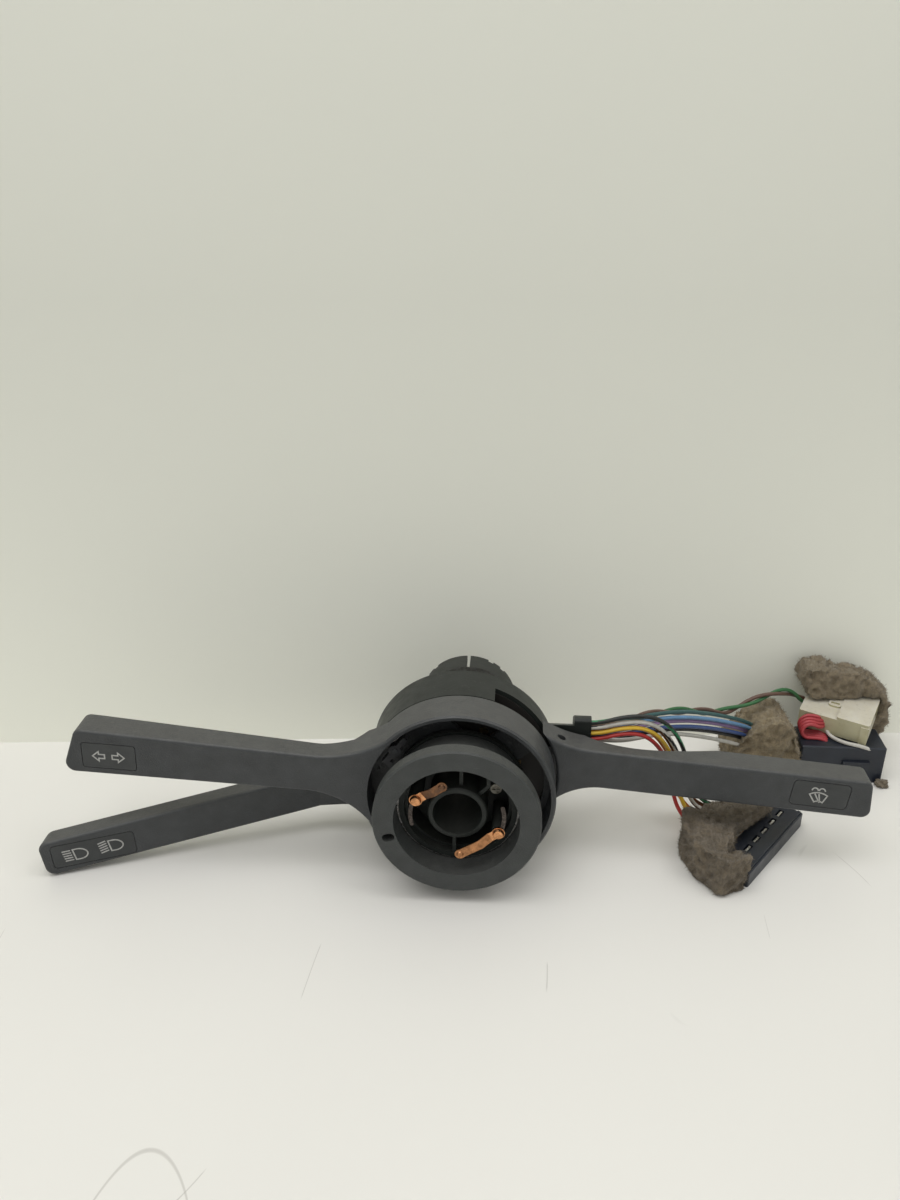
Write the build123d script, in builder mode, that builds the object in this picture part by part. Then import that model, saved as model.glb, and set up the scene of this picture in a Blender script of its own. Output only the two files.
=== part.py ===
from build123d import *

import os
from math import atan2, cos, hypot, radians, sin, tan

# Combination stalk switch, in millimetres.
# Origin: centre of the rear mouth of the column clamp. +Y runs down the steering column, away from
# the driver, +X is the driver's right and +Z is up. A height h is measured from the rear mouth
# towards the driver, so that a face at height h lies at y = -h.

# ---------------------------------------------------------------- fits and clearances
TURN_FIT = 0.05          # radial play of a part that turns on a journal
SEAT_FIT = 0.05          # play of a part that is dropped into its seat
RUN_GAP = 0.4            # axial play between stacked layers
LEVER_GAP = 0.7          # play between a stalk root and the drum
PIVOT_GAP = 0.8          # room for a stalk root to tilt on its tongue
HOLE_PLAY = 0.2          # play of a screw in a clearance hole

# ---------------------------------------------------------------- column and clamp
COLUMN_R = 21.0          # steering column jacket, 42 mm across
CLAMP_WALL = 3.3
CLAMP_DEPTH = 46.0
CLAMP_SLOT = 1.6
CLAMP_SLOT_LENGTH = 36.0
CLAMP_SLOTS = 4
CLAMP_NOTCH = 3.0        # castellations of the rear rim
CLAMP_NOTCH_DEPTH = 1.6
GUSSETS = 8
GUSSET_LENGTH = 16.0
GUSSET_PLAY = 0.7        # gap between a gusset's foot and the drum screws' heads
BAND_BACK = 14.0
BAND_WIDTH = 9.0
BAND_T = 1.0
EAR_HEIGHT = 10.0
EAR_GAP = 5.0
BOLT_R = 2.0
SHAFT_BORE_R = 10.9      # free bore for the steering shaft

# ---------------------------------------------------------------- drum and its layers
DRUM_R = 43.6
DRUM_WALL = 2.2
FLOOR_BACK = 50.6
FLOOR_T = 2.4
CORE_R = 19.0            # journal that the hubs turn on
CORE_BORE_R = 14.2
BOARD_T = 1.2
PAD_T = 0.2
LIGHT_ROTOR_T = 5.6
WIPER_ROTOR_T = 8.8
WINDOW_TOP = 70.0        # degrees, end of the window over the wiper stalk
WINDOW_BOTTOM = -14.0
WINDOW_RIM = 61.6        # height at which the window starts
PILLAR_R = 2.6
PILLAR_COUNT = 4
PILLAR_START = 70.0      # degrees
SCREW_R = 1.25
SCREW_HEAD_R = 2.6
SCREW_HEAD_T = 1.6

# ---------------------------------------------------------------- indicator lever
LEVER_RING_DEPTH = 17.8
WEB_T = 2.6
HUB_R = 23.0
HUB_LENGTH = 6.0
INDICATOR_DEPTH = 10.6
INDICATOR_TIP_DEPTH = 14.0
INDICATOR_SWING = 8.0    # degrees each way

# ---------------------------------------------------------------- contact carrier and cancel ring
FLANGE_R = 30.0
FLANGE_T = 2.5
CUP_R = 26.4
CUP_WALL = 2.4
CUP_LEDGE = 1.4
CUP_FRONT = 98.0
CUP_LEDGE_FRONT = 94.0
TUBE_R = 13.3
TUBE_FRONT = 101.5
RIB_T = 1.6
RIB_FRONT = 99.0
POST_R = 3.0
POST_FRONT = 102.9
RING_FACE = 109.0
RING_R = 37.0
RING_BORE_R = 27.6
RING_PLATE_T = 6.4
SKIRT_WALL = 2.6
LAND_FRONT = 96.0
CLIP_T = 0.9
PEG_R = 31.1             # radius of the socket for the wheel's driving peg
PEG_ANGLE = 196.2
PEG_LENGTH = 5.6
PEG_WIDTH = 4.0
LOBE_T = 3.4
LOBE_RISE = 2.0

# ---------------------------------------------------------------- horn contacts
HEAD_RADIUS = 19.8
STRIP_T = 0.5
STRIP_W = 4.4
HORN_HEADS = (155.8, -23.2)       # degrees, upper left and lower right
HORN_TIPS = ((110.8, 18.3), (-85.2, 18.3))
HORN_FOOT = 4.2
HORN_RISE = 2.2
HORN_RAMP = 5.0
TIP_R = 2.4
TERMINAL_T = 0.6
TERMINAL_W = 1.8
TERMINAL_SWEEP = 38.0

# ---------------------------------------------------------------- stalks
PIVOT_REACH = 3.1         # distance of each pull pivot beyond the stalks' roots
PIN_R = 1.8
TONGUE_REACH = 4.2        # distance from a pull pivot to the end of its tongue
WIPER_ANGLE = 5.0
LIGHT_ANGLE = 197.5
WIPER_TONGUE_W = 17.0
WIPER_TONGUE_T = 6.4
LIGHT_TONGUE_W = 11.0
LIGHT_TONGUE_T = 4.4
WIPER_SWING = 21.0       # degrees, three steps upwards
LIGHT_SWING = 14.0       # degrees, two steps downwards
STEP = 7.0               # degrees between two detents
WIPER_BACK = 59.6
WIPER_FRONT = 72.4
LIGHT_BACK = 51.4
LIGHT_FRONT = 62.2
LIGHT_DEPTH = 9.6        # depth of the light stalk's arm along the column
CRANK = 19.43            # degrees that this arm leans towards the driver
CRANK_REACH = 26.0       # distance beyond the drum at which its front face starts to lean
CRANK_RUN = 130.0        # length of the lean, past the arm's end
EDGE_R = 1.5
PLATE_T = 0.6
PLATE_GAP = 0.3
# inlays: centre beyond the drum, centre up, length, height, tilt in degrees
IND_PLATE = (114.6, 16.0, 25.0, 13.4, -3.0)
WIPER_PLATE = (120.8, -3.0, 26.5, 13.6, -5.6)
LIGHT_PLATE = (106.4, 32.1, 37.5, 12.8, 2.7)     # centre along the crank, centre down, length, height, tilt
BALL_R = 2.0
NOTCH_DEPTH = 0.6
ROTOR_BAR = 22.0

# ---------------------------------------------------------------- looms, clip and connectors
WIRE_R = 1.0
WIRE_SEAT = 2.2          # depth of the bores that take the wires' ends
PAIR_REACH = 1.3         # distance of each twisted core from the pair's middle
PAIR_STEPS = 24
PAIR_ROUTE = [
    (57, -48.4, 13.2),
    (65, -48.4, 13.2),
    (77, -43.5, 14.7),
    (91, -34, 14),
    (106, -23.5, 10),
    (120, -12, 3),
    (132, -2, -3.2),
    (142, 5, -4.2),
    (152, 8.6, -0.6),
    (161, 13, 0.4),
    (169, 19, -1),
    (175.5, 24.5, -5.5),
    (180.5, 27.5, -10.5),
    (186.4, 28.2, -13),
]
CLIP_SPAN = (52.0, 60.0)     # x limits of the cable clip
CLIP_LOW = 7.0
BRACKET_SUNK = 5.6           # length of the bracket inside the drum's outline, before the bore is cut
BRACKET_END = CLIP_SPAN[0]
BRACKET_LOW = 10.3
BRACKET_TOP = 20.3
BRACKET_FALL = 3.6           # fall of the bracket's top towards its back
LOW_LENGTH = 60.0
LOW_WIDTH = 16.4
LOW_HEIGHT = 8.0
LOW_ROW = 0.55           # distance of the terminal row from the middle
LOW_COUNT = 6
LOW_PITCH = 8.8          # spacing of the low connector's terminals
LOW_ENTRY = 7.0          # spacing of its wires
LOW_SHIFT = 4.6          # distance of the wire row's middle from the connector's middle
LOW_DEPTH = 3.9          # depth of the wire row below the upper face
RIGHT_BOX = (176.5, 220.5, -2.0, 18.0, -22.0)          # x and y limits, top
WHITE_AT = (200.07, 20.85, -19.51)     # middle of its lower face
WHITE_TURN = (6.0, -1.0, -27.0)        # degrees about x, y and z
WHITE_LENGTH = 36.0
WHITE_WIDTH = 28.0
WHITE_HEIGHT = 12.0
WHITE_STEP = 1.6                       # height of the block over the wire end
WHITE_BLOCK = 16.8                     # length of the block
WHITE_FIT = 0.45                       # gap between the connector and the foam round it
FOAM_TOP_SPAN = (22.0, 40.0)           # y limits of the strip over it
TABLE_Z = -DRUM_R        # the surface that the drum, the light stalk and the looms lie on

# ---------------------------------------------------------------- heights worked out from the above
FLOOR_TOP = FLOOR_BACK + FLOOR_T
LIGHT_BOARD_TOP = FLOOR_TOP + BOARD_T
LIGHT_ROTOR_BACK = LIGHT_BOARD_TOP + PAD_T + RUN_GAP
LIGHT_ROTOR_TOP = LIGHT_ROTOR_BACK + LIGHT_ROTOR_T
WIPER_BOARD_BACK = LIGHT_ROTOR_TOP + RUN_GAP
WIPER_BOARD_TOP = WIPER_BOARD_BACK + BOARD_T
WIPER_ROTOR_BACK = WIPER_BOARD_TOP + PAD_T + RUN_GAP
WIPER_ROTOR_TOP = WIPER_ROTOR_BACK + WIPER_ROTOR_T
TOP_BOARD_BACK = WIPER_ROTOR_TOP + RUN_GAP
DRUM_FRONT = TOP_BOARD_BACK + BOARD_T
LEVER_BACK = DRUM_FRONT + PAD_T + RUN_GAP
LEVER_FRONT = LEVER_BACK + LEVER_RING_DEPTH
CORE_FRONT = LEVER_BACK + HUB_LENGTH + RUN_GAP
FLANGE_FRONT = CORE_FRONT + FLANGE_T
SKIRT_BACK = FLANGE_FRONT + RUN_GAP

DRUM_BORE_R = DRUM_R - DRUM_WALL
BRACKET_START = DRUM_R - BRACKET_SUNK
CLAMP_BORE_R = COLUMN_R + HOLE_PLAY
CLAMP_OUT_R = CLAMP_BORE_R + CLAMP_WALL
CUP_BORE_R = CUP_R - CUP_WALL
ROTOR_R = DRUM_BORE_R - 0.5
ROOT_R = DRUM_R + LEVER_GAP
PIVOT_R = ROOT_R + PIVOT_REACH
TONGUE_END = PIVOT_R + TONGUE_REACH
CRANK_X = -(DRUM_R + CRANK_REACH)
CRANK_RISE = CRANK_RUN * tan(radians(CRANK))
PILLAR_AT = DRUM_BORE_R - PILLAR_R
GUSSET_END_R = PILLAR_AT - SCREW_HEAD_R - GUSSET_PLAY
CARRIER_SCREW_AT = (CORE_R + CORE_BORE_R) / 2


def station(height):
    """Plane across the column at a height, x to the right and y up, facing the driver."""
    return Plane.XZ.offset(height)


def arm_plane(height, angle):
    """Plane across the column whose x axis points along a stalk."""
    axis_x = (cos(radians(angle)), 0, sin(radians(angle)))
    return Plane(origin=(0, -height, 0), x_dir=axis_x, z_dir=(0, -1, 0))


def radial_plane(angle):
    """Plane through the column axis, x outwards at an angle and y down the column."""
    direction = radians(angle)
    return Plane(
        origin=(0, 0, 0),
        x_dir=(cos(direction), 0, sin(direction)),
        z_dir=(-sin(direction), 0, cos(direction)),
    )


def polar(radius, angle):
    """Point of a cross-column sketch at a radius and an angle."""
    return (radius * cos(radians(angle)), radius * sin(radians(angle)))


def left(reach, up):
    """Point of a cross-column sketch beyond the drum, on the driver's left."""
    return (-(DRUM_R + reach), up)


def right(reach, up):
    """Point of a cross-column sketch beyond the drum, on the driver's right."""
    return (DRUM_R + reach, up)


def turned(*profile):
    """Profile points (radius, height) as points of the XY plane, ready to turn about the column."""
    return [(radius, -height) for radius, height in profile]


def pivot_plane(height, angle):
    """Plane through a pull pivot, square to its pin, which runs tangentially."""
    direction = radians(angle)
    return Plane(
        origin=(PIVOT_R * cos(direction), -height, PIVOT_R * sin(direction)),
        x_dir=(0, 1, 0),
        z_dir=(-sin(direction), 0, cos(direction)),
    )


def finish(builder, name):
    """Label a finished piece and write its file."""
    builder.part.label = name
    export_step(builder.part, f"parts/{name}.step")


os.makedirs("parts", exist_ok=True)

# ================================================================ column carrier
with BuildPart() as column_carrier:
    with BuildSketch(Plane.XY):
        with BuildLine():
            Polyline(
                *turned(
                    (CLAMP_BORE_R, 0),
                    (CLAMP_OUT_R, 0),
                    (CLAMP_OUT_R, FLOOR_BACK),
                    (DRUM_BORE_R - SEAT_FIT, FLOOR_BACK),
                    (DRUM_BORE_R - SEAT_FIT, FLOOR_TOP),
                    (CORE_R, FLOOR_TOP),
                    (CORE_R, CORE_FRONT),
                    (CORE_BORE_R, CORE_FRONT),
                    (CORE_BORE_R, CLAMP_DEPTH),
                    (CLAMP_BORE_R, CLAMP_DEPTH),
                ),
                close=True,
            )
        make_face()
    revolve(axis=Axis.Y)
    # stiffening gussets between the floor and the clamp tube
    for gusset in range(GUSSETS):
        with BuildSketch(radial_plane(25 + gusset * 360 / GUSSETS)):
            with BuildLine():
                Polyline(
                    *turned(
                        (CLAMP_OUT_R - 1, FLOOR_BACK),
                        (CLAMP_OUT_R - 1, FLOOR_BACK - GUSSET_LENGTH),
                        (CLAMP_OUT_R + 1, FLOOR_BACK - GUSSET_LENGTH),
                        (GUSSET_END_R, FLOOR_BACK - 1),
                        (GUSSET_END_R, FLOOR_BACK),
                    ),
                    close=True,
                )
            make_face()
        extrude(amount=1, both=True)
    # collet slots and the castellated rear rim
    with BuildSketch(station(0)):
        with PolarLocations(CLAMP_OUT_R, CLAMP_SLOTS, start_angle=90):
            Rectangle(4 * CLAMP_WALL, CLAMP_SLOT)
    extrude(amount=CLAMP_SLOT_LENGTH, mode=Mode.SUBTRACT)
    with BuildSketch(station(0)):
        with PolarLocations(CLAMP_OUT_R, CLAMP_SLOTS, start_angle=62):
            Rectangle(4 * CLAMP_WALL, CLAMP_NOTCH)
        with PolarLocations(CLAMP_OUT_R, CLAMP_SLOTS, start_angle=45):
            Rectangle(4 * CLAMP_WALL, CLAMP_NOTCH)
    extrude(amount=CLAMP_NOTCH_DEPTH, mode=Mode.SUBTRACT)
    # screw holes: drum screws in the floor, carrier screws in the front of the journal
    with BuildSketch(station(FLOOR_BACK)):
        with PolarLocations(PILLAR_AT, PILLAR_COUNT, start_angle=PILLAR_START):
            Circle(SCREW_R + HOLE_PLAY)
    extrude(amount=FLOOR_T, mode=Mode.SUBTRACT)
    with BuildSketch(station(CORE_FRONT)):
        with PolarLocations(CARRIER_SCREW_AT, 3, start_angle=5):
            Circle(SCREW_R + TURN_FIT)
    extrude(amount=-9, mode=Mode.SUBTRACT)
finish(column_carrier, "column_carrier")

# ================================================================ clamp band, bolt and nut
BAND_IN = CLAMP_OUT_R + SEAT_FIT
BAND_MID = BAND_BACK + BAND_WIDTH / 2
EAR_Z = BAND_IN + BAND_T + EAR_HEIGHT / 2
with BuildPart() as clamp_band:
    with BuildSketch(station(BAND_BACK)):
        Circle(BAND_IN + BAND_T)
        with Locations((0, -EAR_Z + 1)):
            Rectangle(EAR_GAP + 2 * BAND_T, EAR_HEIGHT + 2)
        Circle(BAND_IN, mode=Mode.SUBTRACT)
        with Locations((0, -EAR_Z)):
            Rectangle(EAR_GAP, EAR_HEIGHT + 8, mode=Mode.SUBTRACT)
    extrude(amount=BAND_WIDTH)
    ear_edges = clamp_band.edges().filter_by(Axis.X).group_by(Axis.Z)[0]
    fillet(ear_edges, radius=3)
    with BuildSketch(Plane.YZ.offset(-EAR_GAP)):
        with Locations((-BAND_MID, -EAR_Z)):
            Circle(BOLT_R + HOLE_PLAY)
    extrude(amount=2 * EAR_GAP, mode=Mode.SUBTRACT)
finish(clamp_band, "clamp_band")

EAR_FACE = EAR_GAP / 2 + BAND_T
with BuildPart() as clamp_bolt:
    with BuildSketch(Plane.YZ.offset(EAR_FACE)):
        with Locations((-BAND_MID, -EAR_Z)):
            Circle(1.7 * BOLT_R)
    extrude(amount=2.6)
    with BuildSketch(Plane.YZ.offset(EAR_FACE)):
        with Locations((-BAND_MID, -EAR_Z)):
            Circle(BOLT_R)
    extrude(amount=-(2 * EAR_FACE + 4.5))
    with BuildSketch(Plane.YZ.offset(EAR_FACE + 2.6)):
        with Locations((-BAND_MID, -EAR_Z)):
            Rectangle(3.8 * BOLT_R, 0.9)
    extrude(amount=-1.1, mode=Mode.SUBTRACT)
finish(clamp_bolt, "clamp_bolt")

with BuildPart() as clamp_nut:
    with BuildSketch(Plane.YZ.offset(-EAR_FACE)):
        with Locations((-BAND_MID, -EAR_Z)):
            RegularPolygon(2 * BOLT_R, 6)
            Circle(BOLT_R + SEAT_FIT, mode=Mode.SUBTRACT)
    extrude(amount=-3.2)
finish(clamp_nut, "clamp_nut")

# ================================================================ drum housing
SLOT_START = LIGHT_ANGLE - 13
SLOT_END = LIGHT_ANGLE + LIGHT_SWING + 13
CLIP_BACK = 47.0         # the cable clip stands behind the wiper stalk
CLIP_FRONT = WIPER_BACK - 1.8
with BuildPart() as drum_housing:
    with BuildSketch(station(FLOOR_BACK)):
        Circle(DRUM_R)
        Circle(DRUM_BORE_R, mode=Mode.SUBTRACT)
    extrude(amount=DRUM_FRONT - FLOOR_BACK)
    # bracket that carries the cable clip
    with BuildSketch(Plane.YZ.offset(BRACKET_START)):
        with BuildLine():
            Polyline(
                (-FLOOR_BACK, BRACKET_LOW),
                (-CLIP_FRONT, BRACKET_LOW),
                (-CLIP_FRONT, BRACKET_TOP),
                (-FLOOR_BACK, BRACKET_TOP - BRACKET_FALL),
                close=True,
            )
        make_face()
    extrude(amount=BRACKET_END - BRACKET_START)
    with BuildSketch(station(FLOOR_BACK)):
        Circle(DRUM_BORE_R)
    extrude(amount=DRUM_FRONT - FLOOR_BACK, mode=Mode.SUBTRACT)
    # pillars for the drum screws, which also carry the wiper board
    with BuildSketch(station(FLOOR_TOP)):
        with PolarLocations(PILLAR_AT, PILLAR_COUNT, start_angle=PILLAR_START):
            Circle(PILLAR_R)
        with PolarLocations(DRUM_BORE_R - 0.6, PILLAR_COUNT, start_angle=PILLAR_START):
            Rectangle(2, 2 * PILLAR_R)
    extrude(amount=WIPER_BOARD_BACK - FLOOR_TOP)
    with BuildSketch(station(FLOOR_TOP)):
        with PolarLocations(PILLAR_AT, PILLAR_COUNT, start_angle=PILLAR_START):
            Circle(SCREW_R + TURN_FIT)
    extrude(amount=WIPER_BOARD_BACK - FLOOR_TOP - 1.5, mode=Mode.SUBTRACT)
    # seat of the top board
    with BuildSketch(station(TOP_BOARD_BACK)):
        Circle(DRUM_BORE_R + 0.8)
    extrude(amount=BOARD_T, mode=Mode.SUBTRACT)
    # window in which the wiper hub swings
    with BuildSketch(station(WINDOW_RIM)):
        with BuildLine():
            Polyline(
                (0, 0),
                polar(2 * DRUM_R, WINDOW_BOTTOM),
                polar(2 * DRUM_R, (WINDOW_BOTTOM + WINDOW_TOP) / 2),
                polar(2 * DRUM_R, WINDOW_TOP),
                close=True,
            )
        make_face()
    extrude(amount=DRUM_FRONT - WINDOW_RIM, mode=Mode.SUBTRACT)
    # slot in which the light hub swings
    with BuildSketch(station(FLOOR_TOP)):
        with BuildLine():
            Polyline((0, 0), polar(2 * DRUM_R, SLOT_START), polar(2 * DRUM_R, SLOT_END), close=True)
        make_face()
    extrude(amount=LIGHT_ROTOR_TOP + RUN_GAP - FLOOR_TOP, mode=Mode.SUBTRACT)
    # detent grooves for the two balls
    with BuildSketch(station(LIGHT_ROTOR_BACK)):
        for step in range(3):
            angle = LIGHT_ANGLE + 180 + step * STEP
            with Locations(polar(DRUM_BORE_R + NOTCH_DEPTH - BALL_R - 0.1, angle)):
                Circle(BALL_R + 0.1)
    extrude(amount=LIGHT_ROTOR_T, mode=Mode.SUBTRACT)
    with BuildSketch(station(WIPER_ROTOR_BACK)):
        for step in range(4):
            angle = WIPER_ANGLE + 180 + step * STEP
            with Locations(polar(DRUM_BORE_R + NOTCH_DEPTH - BALL_R - 0.1, angle)):
                Circle(BALL_R + 0.1)
    extrude(amount=WIPER_ROTOR_T, mode=Mode.SUBTRACT)
finish(drum_housing, "drum_housing")

with BuildPart() as drum_screws:
    with BuildSketch(station(FLOOR_BACK)):
        with PolarLocations(PILLAR_AT, PILLAR_COUNT, start_angle=PILLAR_START):
            Circle(SCREW_R)
    extrude(amount=8)
    with BuildSketch(station(FLOOR_BACK)):
        with PolarLocations(PILLAR_AT, PILLAR_COUNT, start_angle=PILLAR_START):
            Circle(SCREW_HEAD_R)
    extrude(amount=-SCREW_HEAD_T)
    with BuildSketch(station(FLOOR_BACK - SCREW_HEAD_T)):
        with PolarLocations(PILLAR_AT, PILLAR_COUNT, start_angle=PILLAR_START):
            Rectangle(3.6, 0.8)
            Rectangle(0.8, 3.6)
    extrude(amount=0.9, mode=Mode.SUBTRACT)
finish(drum_screws, "drum_screws")

# ================================================================ contact boards and their pads
BOARDS = {
    "light_board": (FLOOR_TOP, DRUM_BORE_R - SEAT_FIT, True),
    "wiper_board": (WIPER_BOARD_BACK, DRUM_BORE_R - SEAT_FIT, False),
    "indicator_board": (TOP_BOARD_BACK, DRUM_BORE_R + 0.8 - SEAT_FIT, False),
}
for board_name, (board_back, board_r, notched) in BOARDS.items():
    with BuildPart() as board:
        with BuildSketch(station(board_back)):
            Circle(board_r)
            Circle(CORE_R + SEAT_FIT, mode=Mode.SUBTRACT)
            if notched:
                with PolarLocations(PILLAR_AT, PILLAR_COUNT, start_angle=PILLAR_START):
                    Circle(PILLAR_R + HOLE_PLAY, mode=Mode.SUBTRACT)
                with PolarLocations(board_r, PILLAR_COUNT, start_angle=PILLAR_START):
                    Rectangle(2 * PILLAR_R, 2 * (PILLAR_R + HOLE_PLAY), mode=Mode.SUBTRACT)
        extrude(amount=BOARD_T)
    finish(board, board_name)

PAD_TRACK = 27.0
with BuildPart() as contact_pads:
    for pad_base, first in ((LIGHT_BOARD_TOP, 98), (WIPER_BOARD_TOP, -92), (DRUM_FRONT, 20)):
        with BuildSketch(station(pad_base)):
            with PolarLocations(PAD_TRACK, 5, start_angle=first, angular_range=60):
                Circle(2.2)
        extrude(amount=PAD_T)
finish(contact_pads, "contact_pads")

# ================================================================ hubs of the wiper and light stalks
def spring_coil(start, end, radius, wire, turns):
    """Compression spring between two points, as one swept coil."""
    length = (Vector(*end) - Vector(*start)).length
    line = Helix(
        pitch=(length - 2 * wire) / turns,
        height=length - 2 * wire,
        radius=radius - wire,
        center=Vector(*start) + (Vector(*end) - Vector(*start)).normalized() * wire,
        direction=Vector(*end) - Vector(*start),
    )
    with BuildPart() as coil:
        with BuildSketch(Plane(origin=line @ 0, z_dir=line % 0)):
            RegularPolygon(wire, 6)
        sweep(path=line, is_frenet=True)
    return coil


def detent_seat(height, angle, ball_at, facing):
    """Plane through a detent ball whose normal points along its bore, outwards for facing 1."""
    direction = (facing * cos(radians(angle)), 0, facing * sin(radians(angle)))
    origin = (ball_at * cos(radians(angle)), -height, ball_at * sin(radians(angle)))
    return Plane(origin=origin, x_dir=(0, 1, 0), z_dir=direction)


BALL_AT = DRUM_BORE_R - BALL_R - 0.1
SPRING_R = BALL_R - 0.15
SPRING_LENGTH = 7.5
SPRING_WIRE = 0.3
BRIDGE_T = 0.3
HUBS = {
    "light": (LIGHT_ROTOR_BACK, LIGHT_ROTOR_T, LIGHT_ANGLE, LIGHT_TONGUE_W, LIGHT_TONGUE_T, 9.2),
    "wiper": (WIPER_ROTOR_BACK, WIPER_ROTOR_T, WIPER_ANGLE, WIPER_TONGUE_W, WIPER_TONGUE_T, 12.3),
}
for hub_name, (back, thickness, angle, tongue_w, tongue_t, pin_half) in HUBS.items():
    middle = back + thickness / 2
    ball_angle = angle + 180
    with BuildPart() as hub:
        with BuildSketch(arm_plane(back, angle)):
            Circle(ROTOR_R)
            Rectangle(2 * ROTOR_R, ROTOR_BAR, mode=Mode.INTERSECT)
            Circle(CORE_R + 6)
            Circle(CORE_R + TURN_FIT, mode=Mode.SUBTRACT)
        extrude(amount=thickness)
        with BuildSketch(arm_plane(middle, angle)):
            with Locations(((ROTOR_R + TONGUE_END) / 2 - 3, 0)):
                Rectangle(TONGUE_END - ROTOR_R + 6, tongue_w)
        extrude(amount=tongue_t / 2, both=True)
        tongue_corners = hub.edges().filter_by(Axis.Y).sort_by_distance(
            (1.3 * TONGUE_END * cos(radians(angle)), -middle, 1.3 * TONGUE_END * sin(radians(angle)))
        )[:2]
        fillet(tongue_corners, radius=2)
        # lightening pockets in the front face of the bar
        with BuildSketch(arm_plane(back + thickness, angle)):
            with Locations((CORE_R + 12.5, 0)):
                SlotOverall(11, 6, rotation=90)
        extrude(amount=-(thickness - 2), mode=Mode.SUBTRACT)
        # bore of the pull pivot, across the tongue
        with BuildSketch(pivot_plane(middle, angle)):
            Circle(PIN_R + TURN_FIT)
        extrude(amount=tongue_w, both=True, mode=Mode.SUBTRACT)
        # bore of the detent ball and its spring
        with BuildSketch(detent_seat(middle, ball_angle, BALL_AT + BALL_R, -1)):
            Circle(BALL_R + TURN_FIT)
        extrude(amount=2 * BALL_R + SPRING_LENGTH, mode=Mode.SUBTRACT)
    finish(hub, f"{hub_name}_hub")
    with BuildPart() as ball:
        with Locations(detent_seat(middle, ball_angle, BALL_AT, 1).origin):
            Sphere(BALL_R)
    finish(ball, f"{hub_name}_detent_ball")
    seat = detent_seat(middle, ball_angle, BALL_AT - BALL_R, -1)
    far = seat.origin + seat.z_dir * SPRING_LENGTH
    coil = spring_coil(tuple(seat.origin), tuple(far), SPRING_R, SPRING_WIRE, 4)
    finish(coil, f"{hub_name}_detent_spring")
    with BuildPart() as bridge:
        with BuildSketch(arm_plane(back - BRIDGE_T, angle)):
            Circle(CORE_R + 5.5)
            Rectangle(2 * CORE_R + 20, 15, mode=Mode.INTERSECT)
            Circle(CORE_R + 1.5, mode=Mode.SUBTRACT)
        extrude(amount=BRIDGE_T)
    finish(bridge, f"{hub_name}_bridge")
    with BuildPart() as pin:
        with BuildSketch(pivot_plane(middle, angle)):
            Circle(PIN_R)
        extrude(amount=pin_half, both=True)
    finish(pin, f"{hub_name}_pivot_pin")

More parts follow.
